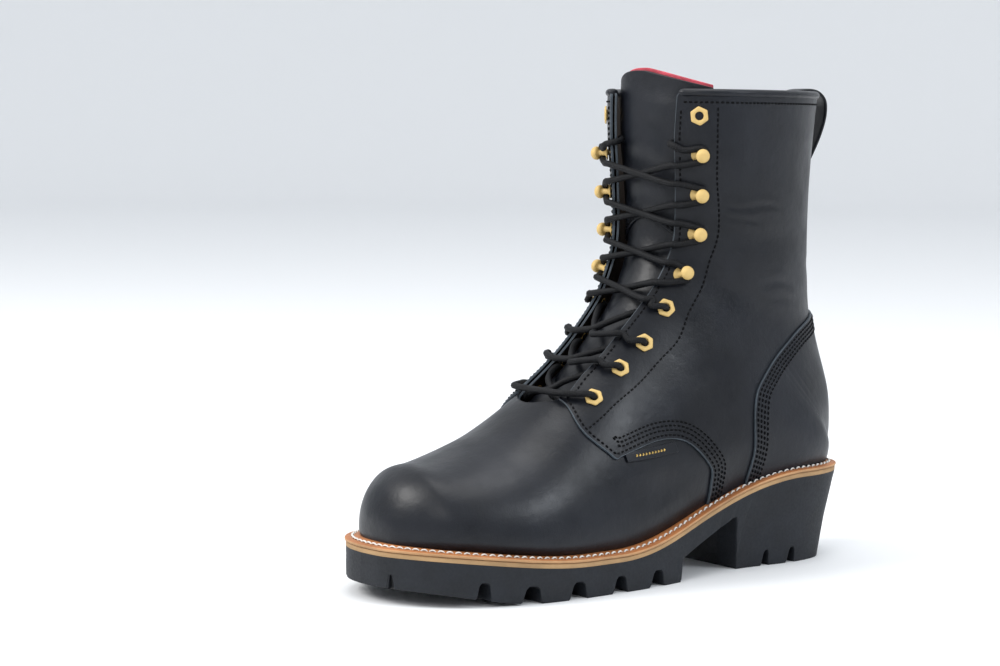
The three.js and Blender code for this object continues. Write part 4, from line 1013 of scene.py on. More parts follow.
def finished(piece, material, slot, *nodes):
    """Gives a piece its material and its place on the boot; the slot is not used."""
    if isinstance(material, str):
        material = look(material)
    piece.data.materials.append(material)
    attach(piece, "root")
    if nodes:
        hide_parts(*nodes)
    return piece


# Settings
class BootSizes(bpy.types.PropertyGroup):
    stitch_pitch: FloatProperty(name="Stitch Pitch", description="From one stitch to the next",
                                default=0.0028,
                                min=0.001, unit="LENGTH")
    stitch_length: FloatProperty(name="Stitch Length", description="What shows of each stitch",
                                 default=0.0021,
                                 min=0.001, unit="LENGTH")
    thread: FloatProperty(name="Thread", description="Half the thickness of the upper's thread",
                          default=0.00044,
                          min=0.0001, unit="LENGTH")
    welt_pitch: FloatProperty(name="Welt Stitch Pitch", description="From one welt stitch to the next",
                              default=0.0043, min=0.002, unit="LENGTH")
    lace_width: FloatProperty(name="Lace Width", description="Thickness of the round lace", default=0.0034,
                              min=0.001, unit="LENGTH")
    eyelet_size: FloatProperty(name="Eyelet Size",
                               description="From the middle to a corner of the eyelet's flange",
                               default=0.0052, min=0.002, unit="LENGTH")
    hook_head: FloatProperty(name="Hook Head", description="Radius of a hook's head", default=0.0037,
                             min=0.001,
                             unit="LENGTH")
    hook_sides: IntProperty(name="Hook Sides", description="Faces round a hook", default=28, min=8)


class BootColors(bpy.types.PropertyGroup):
    leather: FloatVectorProperty(name="Leather", description="Colour of the oiled leather", subtype="COLOR",
                                 default=(0.0032, 0.0041, 0.0066), min=0, max=1)
    edge: FloatVectorProperty(name="Cut Edge", description="Colour of the leather's cut edges",
                              subtype="COLOR",
                              default=(0.052, 0.066, 0.080), min=0, max=1)
    rubber: FloatVectorProperty(name="Rubber", description="Colour of the outsole", subtype="COLOR",
                                default=(0.0065, 0.0085, 0.0125), min=0, max=1)
    welt: FloatVectorProperty(name="Welt", description="Colour of the welt", subtype="COLOR",
                              default=(0.40, 0.150, 0.050), min=0, max=1)
    welt_edge: FloatVectorProperty(name="Welt Edge", description="Colour of the welt's cut side",
                                   subtype="COLOR",
                                   default=(0.42, 0.235, 0.11), min=0, max=1)
    midsole: FloatVectorProperty(name="Midsole", description="Colour of the midsole's edge",
                                 subtype="COLOR",
                                 default=(0.36, 0.225, 0.11), min=0, max=1)
    welt_thread: FloatVectorProperty(name="Welt Thread", description="Colour of the welt's thread",
                                     subtype="COLOR", default=(0.70, 0.68, 0.64), min=0, max=1)
    brass: FloatVectorProperty(name="Brass", description="Colour of eyelets and hooks", subtype="COLOR",
                               default=(0.44, 0.235, 0.065), min=0, max=1)
    felt: FloatVectorProperty(name="Felt", description="Colour of the tongue's lining", subtype="COLOR",
                              default=(0.58, 0.085, 0.115), min=0, max=1)


def sizes():
    return bpy.context.scene.boot_sizes


def colors():
    return bpy.context.scene.boot_colors


class BOOT_OT_materials(bpy.types.Operator):
    """Makes the leathers, rubber, thread, brass and felt"""

    bl_idname = "boot.materials"
    bl_label = "Materials"

    def execute(self, context):
        c = colors()
        leather = tuple(c.leather)
        oiled_leather("black leather", leather, 0.36)
        oiled_leather("lining leather", (0.018, 0.014, 0.011), 0.55, 0.7)
        plain_material("cut edge", tuple(c.edge), 0.55, 900, 0.3, 0.0002)
        plain_material("rubber", tuple(c.rubber), 0.60, 700, 0.35, 0.00025, spread=0.25)
        plain_material("welt leather", tuple(c.welt), 0.50, 420, 0.35, 0.0003, spread=0.22)
        plain_material("welt edge", tuple(c.welt_edge), 0.62, 420, 0.45, 0.0003, spread=0.25)
        plain_material("midsole edge", tuple(c.midsole), 0.72, 500, 0.5, 0.0003, spread=0.2)
        plain_material("black thread", (0.0016, 0.0018, 0.0024), 0.55, 3000, 0.4, 0.0001, gloss=0.10)
        plain_material("welt thread", tuple(c.welt_thread), 0.70, 2500, 0.5, 0.0002, spread=0.12)
        plain_material("lace cord", (0.0042, 0.0046, 0.0058), 0.62, 2600, 0.6, 0.0002, gloss=0.20)
        plain_material("brass", tuple(c.brass), 0.22, 300, 0.08, 0.0002, metallic=1.0, spread=0.14, gloss=0.5)
        plain_material("felt", tuple(c.felt), 0.95, 1800, 0.9, 0.0006)
        plain_material("insole leather", (0.20, 0.13, 0.075), 0.7, 500, 0.4, 0.0003)
        plain_material("gold", (0.66, 0.45, 0.14), 0.35, 800, 0.1, 0.0001, metallic=1.0)
        for node, name in (("outsole", "rubber"), ("insole", "insole leather")):
            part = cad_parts[node]
            part.data.materials.clear()
            part.data.materials.append(look(name))
        return {"FINISHED"}


def groove_distance(y, z):
    """Signed distance to the grooves and the waist in the side view, positive in the rubber."""
    best = np.full(y.shape, 60.0)
    shapes = []
    for start, end in GROOVES:
        front, back = along(start), along(end)
        wide = back - front
        floor = float(sole_floor((front + back) / 2))
        shapes.append([(front - wide * 0.10, -4), (front + wide * 0.22, floor + LUG * 0.82),
                       (front + wide * 0.36, floor + LUG), (front + wide * 0.72, floor + LUG),
                       (front + wide * 0.88, floor + LUG * 0.82), (back + wide * 0.06, -4)])
    shapes.append([(along(s), -4 if h is None else h * COLLAR) for s, h in WAIST])
    for shape in shapes:
        closed = shape + shape[:1]
        distance, _ = line_distance(closed, y, z)
        best = np.minimum(best, np.where(in_polygon(shape, y, z), -distance, distance) + 0.35)
    return best


class BOOT_OT_sole(bpy.types.Operator):
    """Builds the rubber's side wall with its lugs, the midsole and the welt with its stitches"""

    bl_idname = "boot.sole"
    bl_label = "Sole and Welt"

    def execute(self, context):
        self.side_wall()
        self.midsole()
        self.welt()
        return {"FINISHED"}

    def side_wall(self):
        levels = 46
        share = np.linspace(-0.03, 1, levels)[:, None]
        lugs = loop_outline(lambda y: 1 + heel_taper(y))
        wall = loop_outline(lambda y: 0.8 + heel_taper(y) * 0.62)
        top = loop_outline(0.8)
        floor = sole_floor(lugs[:, 1])
        middle = sole_floor(wall[:, 1]) * 0.55 + rubber_top(wall[:, 1]) * 0.45
        high = rubber_top(top[:, 1])
        rows = []
        for s in share[:, 0]:
            if s < 0.45:
                t = s / 0.45
                plan, z = lugs * (1 - t) + wall * t, floor * (1 - t) + middle * t
            else:
                t = (s - 0.45) / 0.55
                plan, z = wall * (1 - t) + top * t, middle * (1 - t) + high * t
            rows.append(np.column_stack([plan, z]))
        grid = np.array(rows)
        grid = np.concatenate([grid, grid[:, :1]], axis=1)
        run = np.roll(grid[:, :-1], -1, axis=1) - np.roll(grid[:, :-1], 1, axis=1)
        run = np.concatenate([run, run[:, :1]], axis=1)
        normals = unit(np.cross(run, np.gradient(grid, axis=0)))
        x, y, z = grid[..., 0], grid[..., 1], grid[..., 2]
        field = groove_distance(y, z)
        field = np.minimum(field, z - sole_floor(y))
        # Two notches in the toe's edge.
        notch = [(17.6, 0.0), (24.6, 0.0), (21.8, TOE_SPRING + 7), (20.4, TOE_SPRING + 7)]
        distance, _ = line_distance(notch + notch[:1], np.abs(x), z)
        signed = np.where(in_polygon(notch, np.abs(x), z), -distance, distance)
        field = np.where(y < along(0.10), np.minimum(field, signed), field)
        # Fine mould lines round the wall, only a little deep.
        below = rubber_top(y) - z
        ribs = 0.10 * np.exp(-((below - 4.2) / 0.55) ** 2) + 0.10 * np.exp(-((below - 6.4) / 0.55) ** 2)
        grid = grid - normals * ribs[..., None]
        blend = smooth(np.abs(x) / 26)[..., None]
        sideways = -np.sign(x)[..., None] * np.array([1.0, 0, 0]) * blend
        depth = unit(sideways - normals * np.array([1, 1, 0.0]) * (1 - blend))
        piece = shell("outsole_wall", grid, normals, field, 0.12, -16.0, 0.55, depth=depth, loop=True)
        finished(piece, "rubber", "black_rubber")

    def midsole(self):
        top = lambda y: rubber_top(y) + MIDSOLE
        profile = [
            (0.95, lambda y: rubber_top(y) + 0.05), (0.62, lambda y: rubber_top(y) + 0.35),
            (0.60, lambda y: rubber_top(y) + 1.3), (0.62, lambda y: top(y) - 0.35),
            (0.95, lambda y: top(y) - 0.02),
            (26, lambda y: top(y) - 0.02), (26, lambda y: rubber_top(y) + 0.05),
        ]
        piece = ring_solid("midsole_edge", profile)
        finished(piece, "midsole edge", "midsole_leather", "midsole")

    def welt(self):
        low = lambda y: rubber_top(y) + MIDSOLE + 0.22
        high = welt_top
        profile = [
            (0.55, low), (0.12, lambda y: low(y) + 0.25), (0.0, lambda y: low(y) + 0.6),
            (0.0, lambda y: high(y) - 1.25), (0.16, lambda y: high(y) - 0.98),
            (0.5, lambda y: high(y) - 0.82),
            (3.0, lambda y: high(y) - 0.42), (3.45, lambda y: high(y) - 0.66),
            (4.35, lambda y: high(y) - 0.52),
            (4.8, lambda y: high(y) - 0.08), (8.6, lambda y: high(y) + 0.45), (10.0, high), (18.9, high),
            (18.9, low),
        ]
        piece = ring_solid("welt_strip", profile)
        finished(piece, "welt leather", "tan_welt", "welt")
        piece.data.materials.append(look("welt edge"))
        count = len(loop_outline(0))
        bands = np.arange(len(piece.data.polygons)) // count
        piece.data.polygons.foreach_set("material_index", (bands < 4).astype(np.int32))
        loop = loop_outline(3.9)
        line = np.column_stack([loop, welt_top(loop[:, 1]) - 0.50])
        line = np.vstack([line, line[:1]])
        arc = np.concatenate([[0], np.cumsum(np.linalg.norm(np.diff(line, axis=0), axis=1))])
        pitch = sizes().welt_pitch / MM
        count = round(arc[-1] / pitch)
        at = (np.arange(count) + 0.5) * arc[-1] / count
        middle = np.stack([np.interp(at, arc, line[:, k]) for k in range(3)], -1)
        after = np.stack([np.interp((at + 1) % arc[-1], arc, line[:, k]) for k in range(3)], -1)
        before = np.stack([np.interp((at - 1) % arc[-1], arc, line[:, k]) for k in range(3)], -1)
        ahead = after - before
        run = unit(ahead)
        up = np.array([0, 0, 1.0])
        across = np.cross(up, run)
        slanted = unit(run + across * 0.22)
        places = [(m + up * 0.2, d, up, pitch * 0.86, 0.52) for m, d in zip(middle, slanted)]
        piece = stitches("welt_stitches", places, sides=8)
        finished(piece, "welt thread", "tan_welt")


class BOOT_OT_upper(bpy.types.Operator):
    """Builds the vamp, quarters, counter and lining"""

    bl_idname = "boot.upper"
    bl_label = "Upper"

    def execute(self, context):
        open_front = np.minimum(FIELDS["throat"], FIELDS["collar"])
        kind = {"wrap_from": HEEL_INDEX, "pole": True}
        lining = shell("lining", FACE, FACE_NORMALS, open_front + 0.5, -0.9, -LEATHER, 0.3, edge=every_edge,
                       **kind)
        finished(lining, "lining leather", "black_leather")
        lining.data.materials.append(look("cut edge"))
        vamp_field = np.minimum(open_front, 7 - FIELDS["quarter"])
        vamp = shell("vamp", FACE, FACE_NORMALS, vamp_field, 0.0, -0.85, 0.35, **kind)
        finished(vamp, "black leather", "black_leather", "upper")
        quarter_field = np.minimum(open_front, FIELDS["quarter"])
        quarters = shell("quarters", FACE, FACE_NORMALS, quarter_field, QUARTER, 0.04, 0.35, edge=every_edge,
                         **kind)
        finished(quarters, "black leather", "black_leather")
        quarters.data.materials.append(look("cut edge"))
        counter_field = np.minimum(FIELDS["counter"], open_front)
        counter = shell("counter", FACE, FACE_NORMALS, counter_field, COUNTER + 0.1, QUARTER + 0.05, 0.35,
                        edge=every_edge, **kind)
        finished(counter, "black leather", "black_leather")
        counter.data.materials.append(look("cut edge"))
        return {"FINISHED"}


class BOOT_OT_stitching(bpy.types.Operator):
    """Sews the seams of the upper"""

    bl_idname = "boot.stitching"
    bl_label = "Stitching"

    def execute(self, context):
        s = sizes()
        pitch, length, radius = s.stitch_pitch / MM, s.stitch_length / MM, s.thread / MM
        z, y = PLAIN[..., 2], PLAIN[..., 1]
        clear = (FIELDS["throat"] > 1.2) & (FIELDS["collar"] > 4.6)
        bottom = z > welt_top(y) + 1.0
        plain = clear & bottom & (FIELDS["counter"] < -0.6)
        places = []

        def sew(field, level, keep, height, first=0.5):
            lines = contour(field, level, keep)
            places.extend(stitch_row(lines, FACE, FACE_NORMALS, height, pitch, length, radius, first=first))

        sew(FIELDS["quarter"], 2.1, plain & (FIELDS["throat"] > 3.6), QUARTER)
        for k, level in enumerate((4.7, 7.0, 9.3)):
            keep = plain & (FIELDS["low_where"] > 0.02)
            sew(FIELDS["low_seam"], level, keep, QUARTER, 0.5 if k % 2 else 1.0)
        for k, level in enumerate((2.0, 4.3, 6.6, 8.9)):
            sew(FIELDS["counter"], level, clear & bottom, COUNTER + 0.1, 0.5 if k % 2 else 1.0)
        sew(FIELDS["throat"], 3.0, plain & (FIELDS["quarter"] > 2.0), QUARTER)
        sew(FIELDS["stay"], 0.0, plain & (FIELDS["quarter"] > 2.6) & (FIELDS["stay_near"] < 2.5), QUARTER)
        sew(FIELDS["collar"], 4.4, FIELDS["throat"] > 2.5, QUARTER)
        piece = stitches("seam_stitches", places)
        finished(piece, "black thread", "black_leather")
        return {"FINISHED"}


def tongue_grid(row_count=120, column_count=52):
    start, end = 10.3, COLLAR_ROW + 0.92
    part = np.linspace(-1, 1, column_count)[None]
    t = 1 - (1 - np.linspace(0, 1, row_count)[:, None]) ** 1.5
    rounded = np.where(part > -0.25, 0.80 * (np.maximum(part + 0.25, 0) / 1.25) ** 1.35,
                       0.42 * (np.maximum(-part - 0.25, 0) / 0.75) ** 3)
    rows = start + (end - rounded * t**6 - start) * t
    t = t * np.ones_like(part)
    half = 30 + 6 * smooth(t * 1.6) + np.where(part > 0, 9, 0) * smooth((t - 0.8) / 0.15)
    arc = np.abs(part) * half
    total = np.where(part > 0, np.interp(rows, ROWS, ARC_TOTAL[1]), np.interp(rows, ROWS, ARC_TOTAL[-1]))
    where = np.sign(part) * arc / total
    free = smooth(t / 0.04)
    sink = 3.4 * (1 - part**2) ** 2
    below = 2.9 + free * (6.8 - 2.9 + sink)
    wave = 0.35 * np.sin(rows * 2.1 + part * 1.7) * smooth(t / 0.3) * (1 - part**2)
    grid = sample(FACE, rows, where) - sample(FACE_NORMALS, rows, where) * (below + wave)[..., None]
    return grid, grid_normals(grid), t


class BOOT_OT_tongue(bpy.types.Operator):
    """Builds the tongue, its sewn-on top part and its felt lining"""

    bl_idname = "boot.tongue"
    bl_label = "Tongue"

    def execute(self, context):
        grid, normals, t = tongue_grid()
        whole = np.full(grid.shape[:2], 50.0)
        tongue = shell("tongue_leather", grid, normals, whole, 0.0, -1.7, 0.4)
        finished(tongue, "black leather", "black_leather", "tongue")
        raised = grid + np.array([0, 0, 1.0]) * (1.5 * smooth((t - 0.93) / 0.07))[..., None]
        felt = shell("tongue_felt", raised, normals, whole, -1.75, -3.5, 0.45)
        finished(felt, "felt", "black_leather")
        edge = (t - 0.47) * 190
        top = shell("tongue_top", grid, normals, edge, 1.3, 0.05, 0.4)
        finished(top, "black leather", "black_leather")
        columns = np.arange(2, grid.shape[1] - 2)
        lines = []
        for level in (0.47 + 2.2 / 190, 0.47 + 4.4 / 190):
            row = np.interp(level, t[:, 0], np.arange(len(t)))
            lines.append(np.column_stack([np.full(len(columns), row), columns]))
        places = stitch_row(lines, grid, normals, 1.3, 3.0, 2.4, 0.36)
        finished(stitches("tongue_stitches", places), "black thread", "black_leather")
        return {"FINISHED"}


class BOOT_OT_binding(bpy.types.Operator):
    """Builds the rolled strip on the collar's edge"""

    bl_idname = "boot.binding"
    bl_label = "Collar Binding"

    def execute(self, context):
        steps = 150
        lines = []
        for side in (-1, 1):
            whole = np.interp(COLLAR_ROW, ROWS, ARC_TOTAL[side])
            begin = (np.interp(COLLAR_ROW, ROWS, THROAT_ARC[side]) + 0.6) / whole
            parts = np.linspace(begin, 1, steps)
            lines.append(side * parts if side < 0 else side * parts[::-1][1:])
        parts = np.concatenate(lines)
        at = sample(PLAIN, np.full(len(parts), float(COLLAR_ROW)), parts)
        for _ in range(3):
            at[1:-1] = (at[:-2] + 2 * at[1:-1] + at[2:]) / 4
        run = np.gradient(at, axis=0)[:, :2]
        out = unit(np.stack([run[:, 1], -run[:, 0]], -1))
        centre = at[:, :2].mean(axis=0)
        out *= np.sign(((at[:, :2] - centre) * out).sum(-1))[:, None]
        sides = 32
        angles = np.arange(sides) / sides * 2 * math.pi
        middle = (QUARTER - LEATHER) / 2
        rings = []
        for k in range(len(at)):
            end = min(k, len(at) - 1 - k)
            swell = min(1, 0.55 + 0.45 * math.sqrt(min(1, end / 3)))
            across = np.sign(np.cos(angles)) * np.abs(np.cos(angles)) ** 0.88 * swell
            offset = middle + (LEATHER + QUARTER + 2.3) / 2 * across
            upward = np.sign(np.sin(angles)) * np.abs(np.sin(angles)) ** 0.9 * swell
            height = BINDING / 2 + 1.75 + (BINDING / 2 + 0.1) * upward
            x = at[k, 0] + out[k, 0] * offset
            y = at[k, 1] + out[k, 1] * offset
            rings.append(np.stack([x, y, collar_cut(y) + height], -1))
        rings = turned(np.array(rings))
        count = len(rings)
        faces = []
        for k in range(count - 1):
            for i in range(sides):
                j = (i + 1) % sides
                faces.append([k * sides + i, k * sides + j, (k + 1) * sides + j, (k + 1) * sides + i])
        faces.append(list(reversed(range(sides))))
        faces.append([(count - 1) * sides + i for i in range(sides)])
        piece = mesh_object("binding_roll", placed(rings.reshape(-1, 3)), faces)
        fix_normals(piece)
        finished(piece, "black leather", "black_leather", "collar_binding")
        return {"FINISHED"}


def fix_normals(piece):
    """Turns every face of a closed piece outward and shades it smooth."""
    mesh = bmesh.new()
    mesh.from_mesh(piece.data)
    bmesh.ops.recalc_face_normals(mesh, faces=mesh.faces[:])
    mesh.to_mesh(piece.data)
    mesh.free()
    piece.data.update()
    piece.data.shade_smooth()


LOOP_PATH = [(0.785, 2.2), (0.806, 2.6), (0.830, 4.0), (0.870, 8.8), (0.915, 13.0), (0.955, 14.6),
             (0.985, 13.0),
             (1.002, 8.0), (1.006, 1.5), (1.000, -4.5), (0.975, -6.2), (0.925, -5.4)]
LOOP_ANGLE = math.radians(14)


class BOOT_OT_loop(bpy.types.Operator):
    """Builds the pull loop at the back"""

    bl_idname = "boot.loop"
    bl_label = "Pull Loop"

    def execute(self, context):
        rows = np.linspace(HEEL_ROW, LAST_ROW, 80)
        back_y, back_z = LOW_WRAPPING[0](rows - HEEL_ROW), LOW_WRAPPING[1](rows - HEEL_ROW)
        path = []
        for z, out in LOOP_PATH:
            y = np.interp(min(z * COLLAR, COLLAR), back_z, back_y)
            path.append((0.0, float(y) + out, z * COLLAR))
        line = spline(path, 1.2)
        run = unit(np.gradient(line, axis=0))
        out = np.stack([0 * run[:, 0], -run[:, 2], run[:, 1]], -1)
        wide, thick, sides = 8.0, 0.9, 28
        angles = np.arange(sides) / sides * 2 * math.pi
        across = np.sign(np.cos(angles)) * np.abs(np.cos(angles)) ** 0.28 * wide
        through = np.sign(np.sin(angles)) * np.abs(np.sin(angles)) ** 0.45 * thick
        rings = (line[:, None] + np.array([1.0, 0, 0]) * across[None, :, None]
                 + out[:, None] * through[None, :, None])
        pivot = line[:, None, 1] * 0 + along(0.93)
        ahead = rings[..., 1] - pivot
        c, s = math.cos(LOOP_ANGLE), math.sin(LOOP_ANGLE)
        x = rings[..., 0]
        rings = np.stack([x * c + ahead * s, pivot + ahead * c - x * s, rings[..., 2]], -1)
        rings = turned(rings)
        count = len(rings)
        faces = []
        for k in range(count - 1):
            for i in range(sides):
                j = (i + 1) % sides
                faces.append([k * sides + i, k * sides + j, (k + 1) * sides + j, (k + 1) * sides + i])
        faces.append(list(reversed(range(sides))))
        faces.append([(count - 1) * sides + i for i in range(sides)])
        piece = mesh_object("loop_strap", placed(rings.reshape(-1, 3)), faces)
        fix_normals(piece)
        finished(piece, "black leather", "black_leather", "pull_loop")
        return {"FINISHED"}


class BOOT_OT_tag(bpy.types.Operator):
    """Builds the small side tag with plain gold lines"""

    bl_idname = "boot.tag"
    bl_label = "Side Tag"

    def execute(self, context):
        a = np.linspace(0, 1, 44)[None]
        b = np.linspace(-1, 1, 10)[:, None]
        rows = 12.40 + 1.58 * a + 0 * b
        parts = 0.574 + 0.078 * a + 0.040 * (b + 1) / 2
        grid = sample(FACE, rows, parts)
        grid = grid[::-1]
        normals = grid_normals(grid)
        face = sample(FACE_NORMALS, rows, parts)[::-1]
        normals *= np.sign((normals * face).sum(-1, keepdims=True))
        flip = (np.cross(np.gradient(grid, axis=1), np.gradient(grid, axis=0)) * face).sum() < 0
        if flip:
            grid, normals, face = grid[::-1], normals[::-1], face[::-1]
        whole = np.full(grid.shape[:2], 50.0)
        piece = shell("tag_leather", grid, unit(face), whole, 1.35, 0.15, 0.3)
        finished(piece, "black leather", "black_leather", "side_tag")
        lines = [np.column_stack([np.full(30, 4.5), np.linspace(7, 36, 30)])]
        places = stitch_row(lines, grid, unit(face), 1.25, 2.1, 1.5, 0.50, slant=1.15)
        bars = stitches("tag_lines", places)
        finished(bars, "gold", "brass")
        return {"FINISHED"}


def spot(index, side):
    return facing_place(FASTENERS[index][1] * COLLAR, side, FASTENERS[index][2])


class BOOT_OT_eyelets(bpy.types.Operator):
    """Sets the six-sided eyelets in the facings"""

    bl_idname = "boot.eyelets"
    bl_label = "Eyelets"

    def execute(self, context):
        corner = sizes().eyelet_size / MM
        profile = [(2.35, -4.3), (2.35, -1.5), (2.25, 0.4), (2.30, 0.75), (2.55, 1.02), (2.95, 1.16),
                   (corner * 0.84, 1.04), (corner * 0.93, 0.86), (corner * 0.985, 0.55), (corner, 0.15),
                   (corner * 0.985, 0.0), (3.1, 0.0),
                   (2.95, -0.4), (2.95, -4.3)]
        hexed = [0, 0, 0, 0, 0, 0.15, 0.85, 1, 1, 1, 1, 0.4, 0, 0]

        def shape(angles, ring):
            turn = (angles + math.pi / 6) % (math.pi / 3) - math.pi / 6
            straight = math.cos(math.pi / 6) / np.cos(turn)
            rounded = np.minimum(straight, 0.972)
            return 1 - hexed[ring] * (1 - rounded)

        points, faces, levels, count = lathe(profile, 48, shape)
        last = (levels - 1) * count
        faces = faces + [[last + i, last + (i + 1) % count, (i + 1) % count, i] for i in range(count)]
        parts, nodes = [], []
        for index, (kind, _, _) in enumerate(FASTENERS):
            if kind != "eyelet":
                continue
            for side in (1, -1):
                row, part = spot(index, side)
                turn = 0.21 * math.sin(index * 2.3 + side)
                parts.append((set_on(points, row, part, QUARTER + 0.32, turn), faces))
                nodes.append(f"eyelet_{'outer' if side > 0 else 'inner'}_{index + 1}")
        piece = joined("eyelets", parts)
        fix_normals(piece)
        finished(piece, "brass", "brass", *nodes)
        return {"FINISHED"}


class BOOT_OT_hooks(bpy.types.Operator):
    """Sets the ball hooks on the facings"""

    bl_idname = "boot.hooks"
    bl_label = "Hooks"

    def execute(self, context):
        head = sizes().hook_head / MM
        top = 9.2
        profile = [(0.01, -1.2), (1.6, -1.2), (1.6, -0.02), (4.05, 0.0), (4.15, 0.25), (4.0, 0.62),
                   (3.5, 0.86), (2.3, 1.0), (1.75, 1.3), (1.6, 2.4), (1.6, 4.0), (1.75, 4.75), (2.3, 5.0),
                   (3.0, 5.15), (head * 0.94, 5.55),
                   (head, 6.2), (head * 0.985, 6.9), (head * 0.93, 7.6), (head * 0.83, 8.25),
                   (head * 0.66, 8.8),
                   (head * 0.46, 9.08), (head * 0.34, top), (0.01, top - 0.02)]
        points, faces, _, _ = lathe(profile, sizes().hook_sides)
        lean = math.radians(24)
        parts, nodes = [], []
        for index, (kind, _, _) in enumerate(FASTENERS):
            if kind != "hook":
                continue
            for side in (1, -1):
                row, part = spot(index, side)
                above = np.maximum(points[:, 2] - 1.0, 0)
                x = points[:, 0]
                tilted = x * math.cos(lean) + side * above * math.sin(lean)
                x = np.where(points[:, 2] > 1.0, tilted, x)
                raised = 1.0 + above * math.cos(lean) - side * points[:, 0] * math.sin(lean)
                z = np.where(points[:, 2] > 1.0, raised, points[:, 2])
                leaning = np.column_stack([x, points[:, 1], z])
                parts.append((set_on(leaning, row, part, QUARTER + 0.42), faces))
                nodes.append(f"hook_{'outer' if side > 0 else 'inner'}_{index + 1}")
        piece = joined("hooks", parts)
        fix_normals(piece)
        finished(piece, "brass", "brass", *nodes)
        return {"FINISHED"}


def height_of(index):
    return FASTENERS[index][1] * COLLAR


def between_heights(low, high, share):
    return height_of(low) + (height_of(high) - height_of(low)) * share


class BOOT_OT_lace(bpy.types.Operator):
    """Runs the lace through the eyelets and round the hooks"""

    bl_idname = "boot.lace"
    bl_label = "Lace"

    def execute(self, context):
        width = sizes().lace_width / MM
        self.over = QUARTER + width / 2 + 1.0
        self.under = -LEATHER - width / 2 - 0.5
        strands = [self.out_of(0, 1) + self.over_edge(height_of(0), 1)
                   + self.over_edge(height_of(0), -1)[::-1] + self.out_of(0, -1)[::-1]]
        for side in (1, -1):
            strands.append(self.under_edge(height_of(0), side)[::-1]
                           + [self.in_throat(0, 1, side, share, deep) for share, deep in
                              ((0.12, 3.8), (0.25, 3.6), (0.5, 5.8 + 0.4 * side), (0.75, 4.9))]
                           + self.under_edge(height_of(1), -side))
            for low in (1, 2):
                across = [
                    self.in_throat(low, low + 1, side, share, deep + 0.9 * side * math.sin(share * math.pi))
                    for share, deep in ((0.3, 0.8), (0.5, 4.0), (0.7, 5.2))
                ]
                start = self.out_of(low, side) + self.over_edge(between_heights(low, low + 1, 0.18), side)
                strands.append(start + across + self.under_edge(height_of(low + 1), -side))
            strands.append(self.run(side))
        parts = [tube(spline(points), width / 2, braid=0.085) for points in strands]
        piece = joined("lace", parts)
        fix_normals(piece)
        finished(piece, "lace cord", "black_cord", "lace_bar", "lace_inner_cross", "lace_cross_2",
                 "lace_cross_3",
                 "lace_run")
        return {"FINISHED"}

    def out_of(self, index, side):
        steps = [(0, -5.5), (0, 0.9), (0.1, 2.6), (1.0, 4.3), (3.4, 4.9), (6.4, 4.5)]
        back = FASTENERS[index][2]
        return [facing_point(height_of(index), side, back - inward, lift) for inward, lift in steps]

    def over_edge(self, z, side):
        return [facing_point(z, side, 3, self.over + 0.1), facing_point(z, side, -0.9, self.over)]

    def under_edge(self, z, side):
        return [facing_point(z, side, -2, self.under), facing_point(z, side, 6, self.under)]

    def in_throat(self, low, high, side, share, deep):
        which = side if share < 0.5 else -side
        setback = -THROAT * 0.54 * (1 - abs(1 - 2 * share))
        return facing_point(between_heights(low, high, share), which, setback, -deep)

    def round_hook(self, index, side):
        z = height_of(index)
        row, part = spot(index, side)
        middle = sample(FACE, row, part)
        normal = unit(sample(FACE_NORMALS, row, part))
        away = unit(facing_point(z, side, FASTENERS[index][2] + 2, 0) - middle)
        middle = middle + away * 0.9
        rise = unit(np.cross(normal, away))
        rise = rise if rise[2] > 0 else -rise
        reach = 1.6 + self.over - QUARTER - 1.0 + 0.25
        lift = QUARTER + 0.42 + 0.9 + self.over - QUARTER - 1.0 + 0.3
        return [middle + normal * lift + away * reach * math.cos(a) + rise * reach * math.sin(a)
                for a in np.radians([-90, -60, -30, 0, 30, 60, 90])]

    def run(self, start):
        places = self.out_of(3, start)
        index, side = 3, start
        for step in range(4):
            target, other = 4 + step, -side
            # One strand lies a little over the other where they cross.
            lifted = 0.85 * (1 if (step % 2 == 0) == (start > 0) else -1)
            first = self.over_edge(between_heights(index, target, 0.27 if step else 0.2), side)
            second = self.over_edge(between_heights(index, target, 0.73), other)[::-1]
            middle = (first[-1] + second[0]) / 2
            outward = unit(sample(FACE_NORMALS, facing_place(middle[2], 1, 0)[0], 0.0))
            places += first + [middle + outward * lifted] + second + self.round_hook(target, other)
            index, side = target, other
        z = height_of(index)
        # The end goes over the facing's edge and is tucked away under it.
        tucked = ((0.010, 6, self.over + 0.3), (0.018, 0.8, self.over), (0.021, -1.9, 1.8),
                  (0.023, -2.6, -1.2),
                  (0.026, -0.4, self.under - 0.2), (0.032, 5, self.under - 0.6))
        for rise, setback, lift in tucked:
            places.append(facing_point(z + rise * COLLAR, side, setback, lift))
        return places


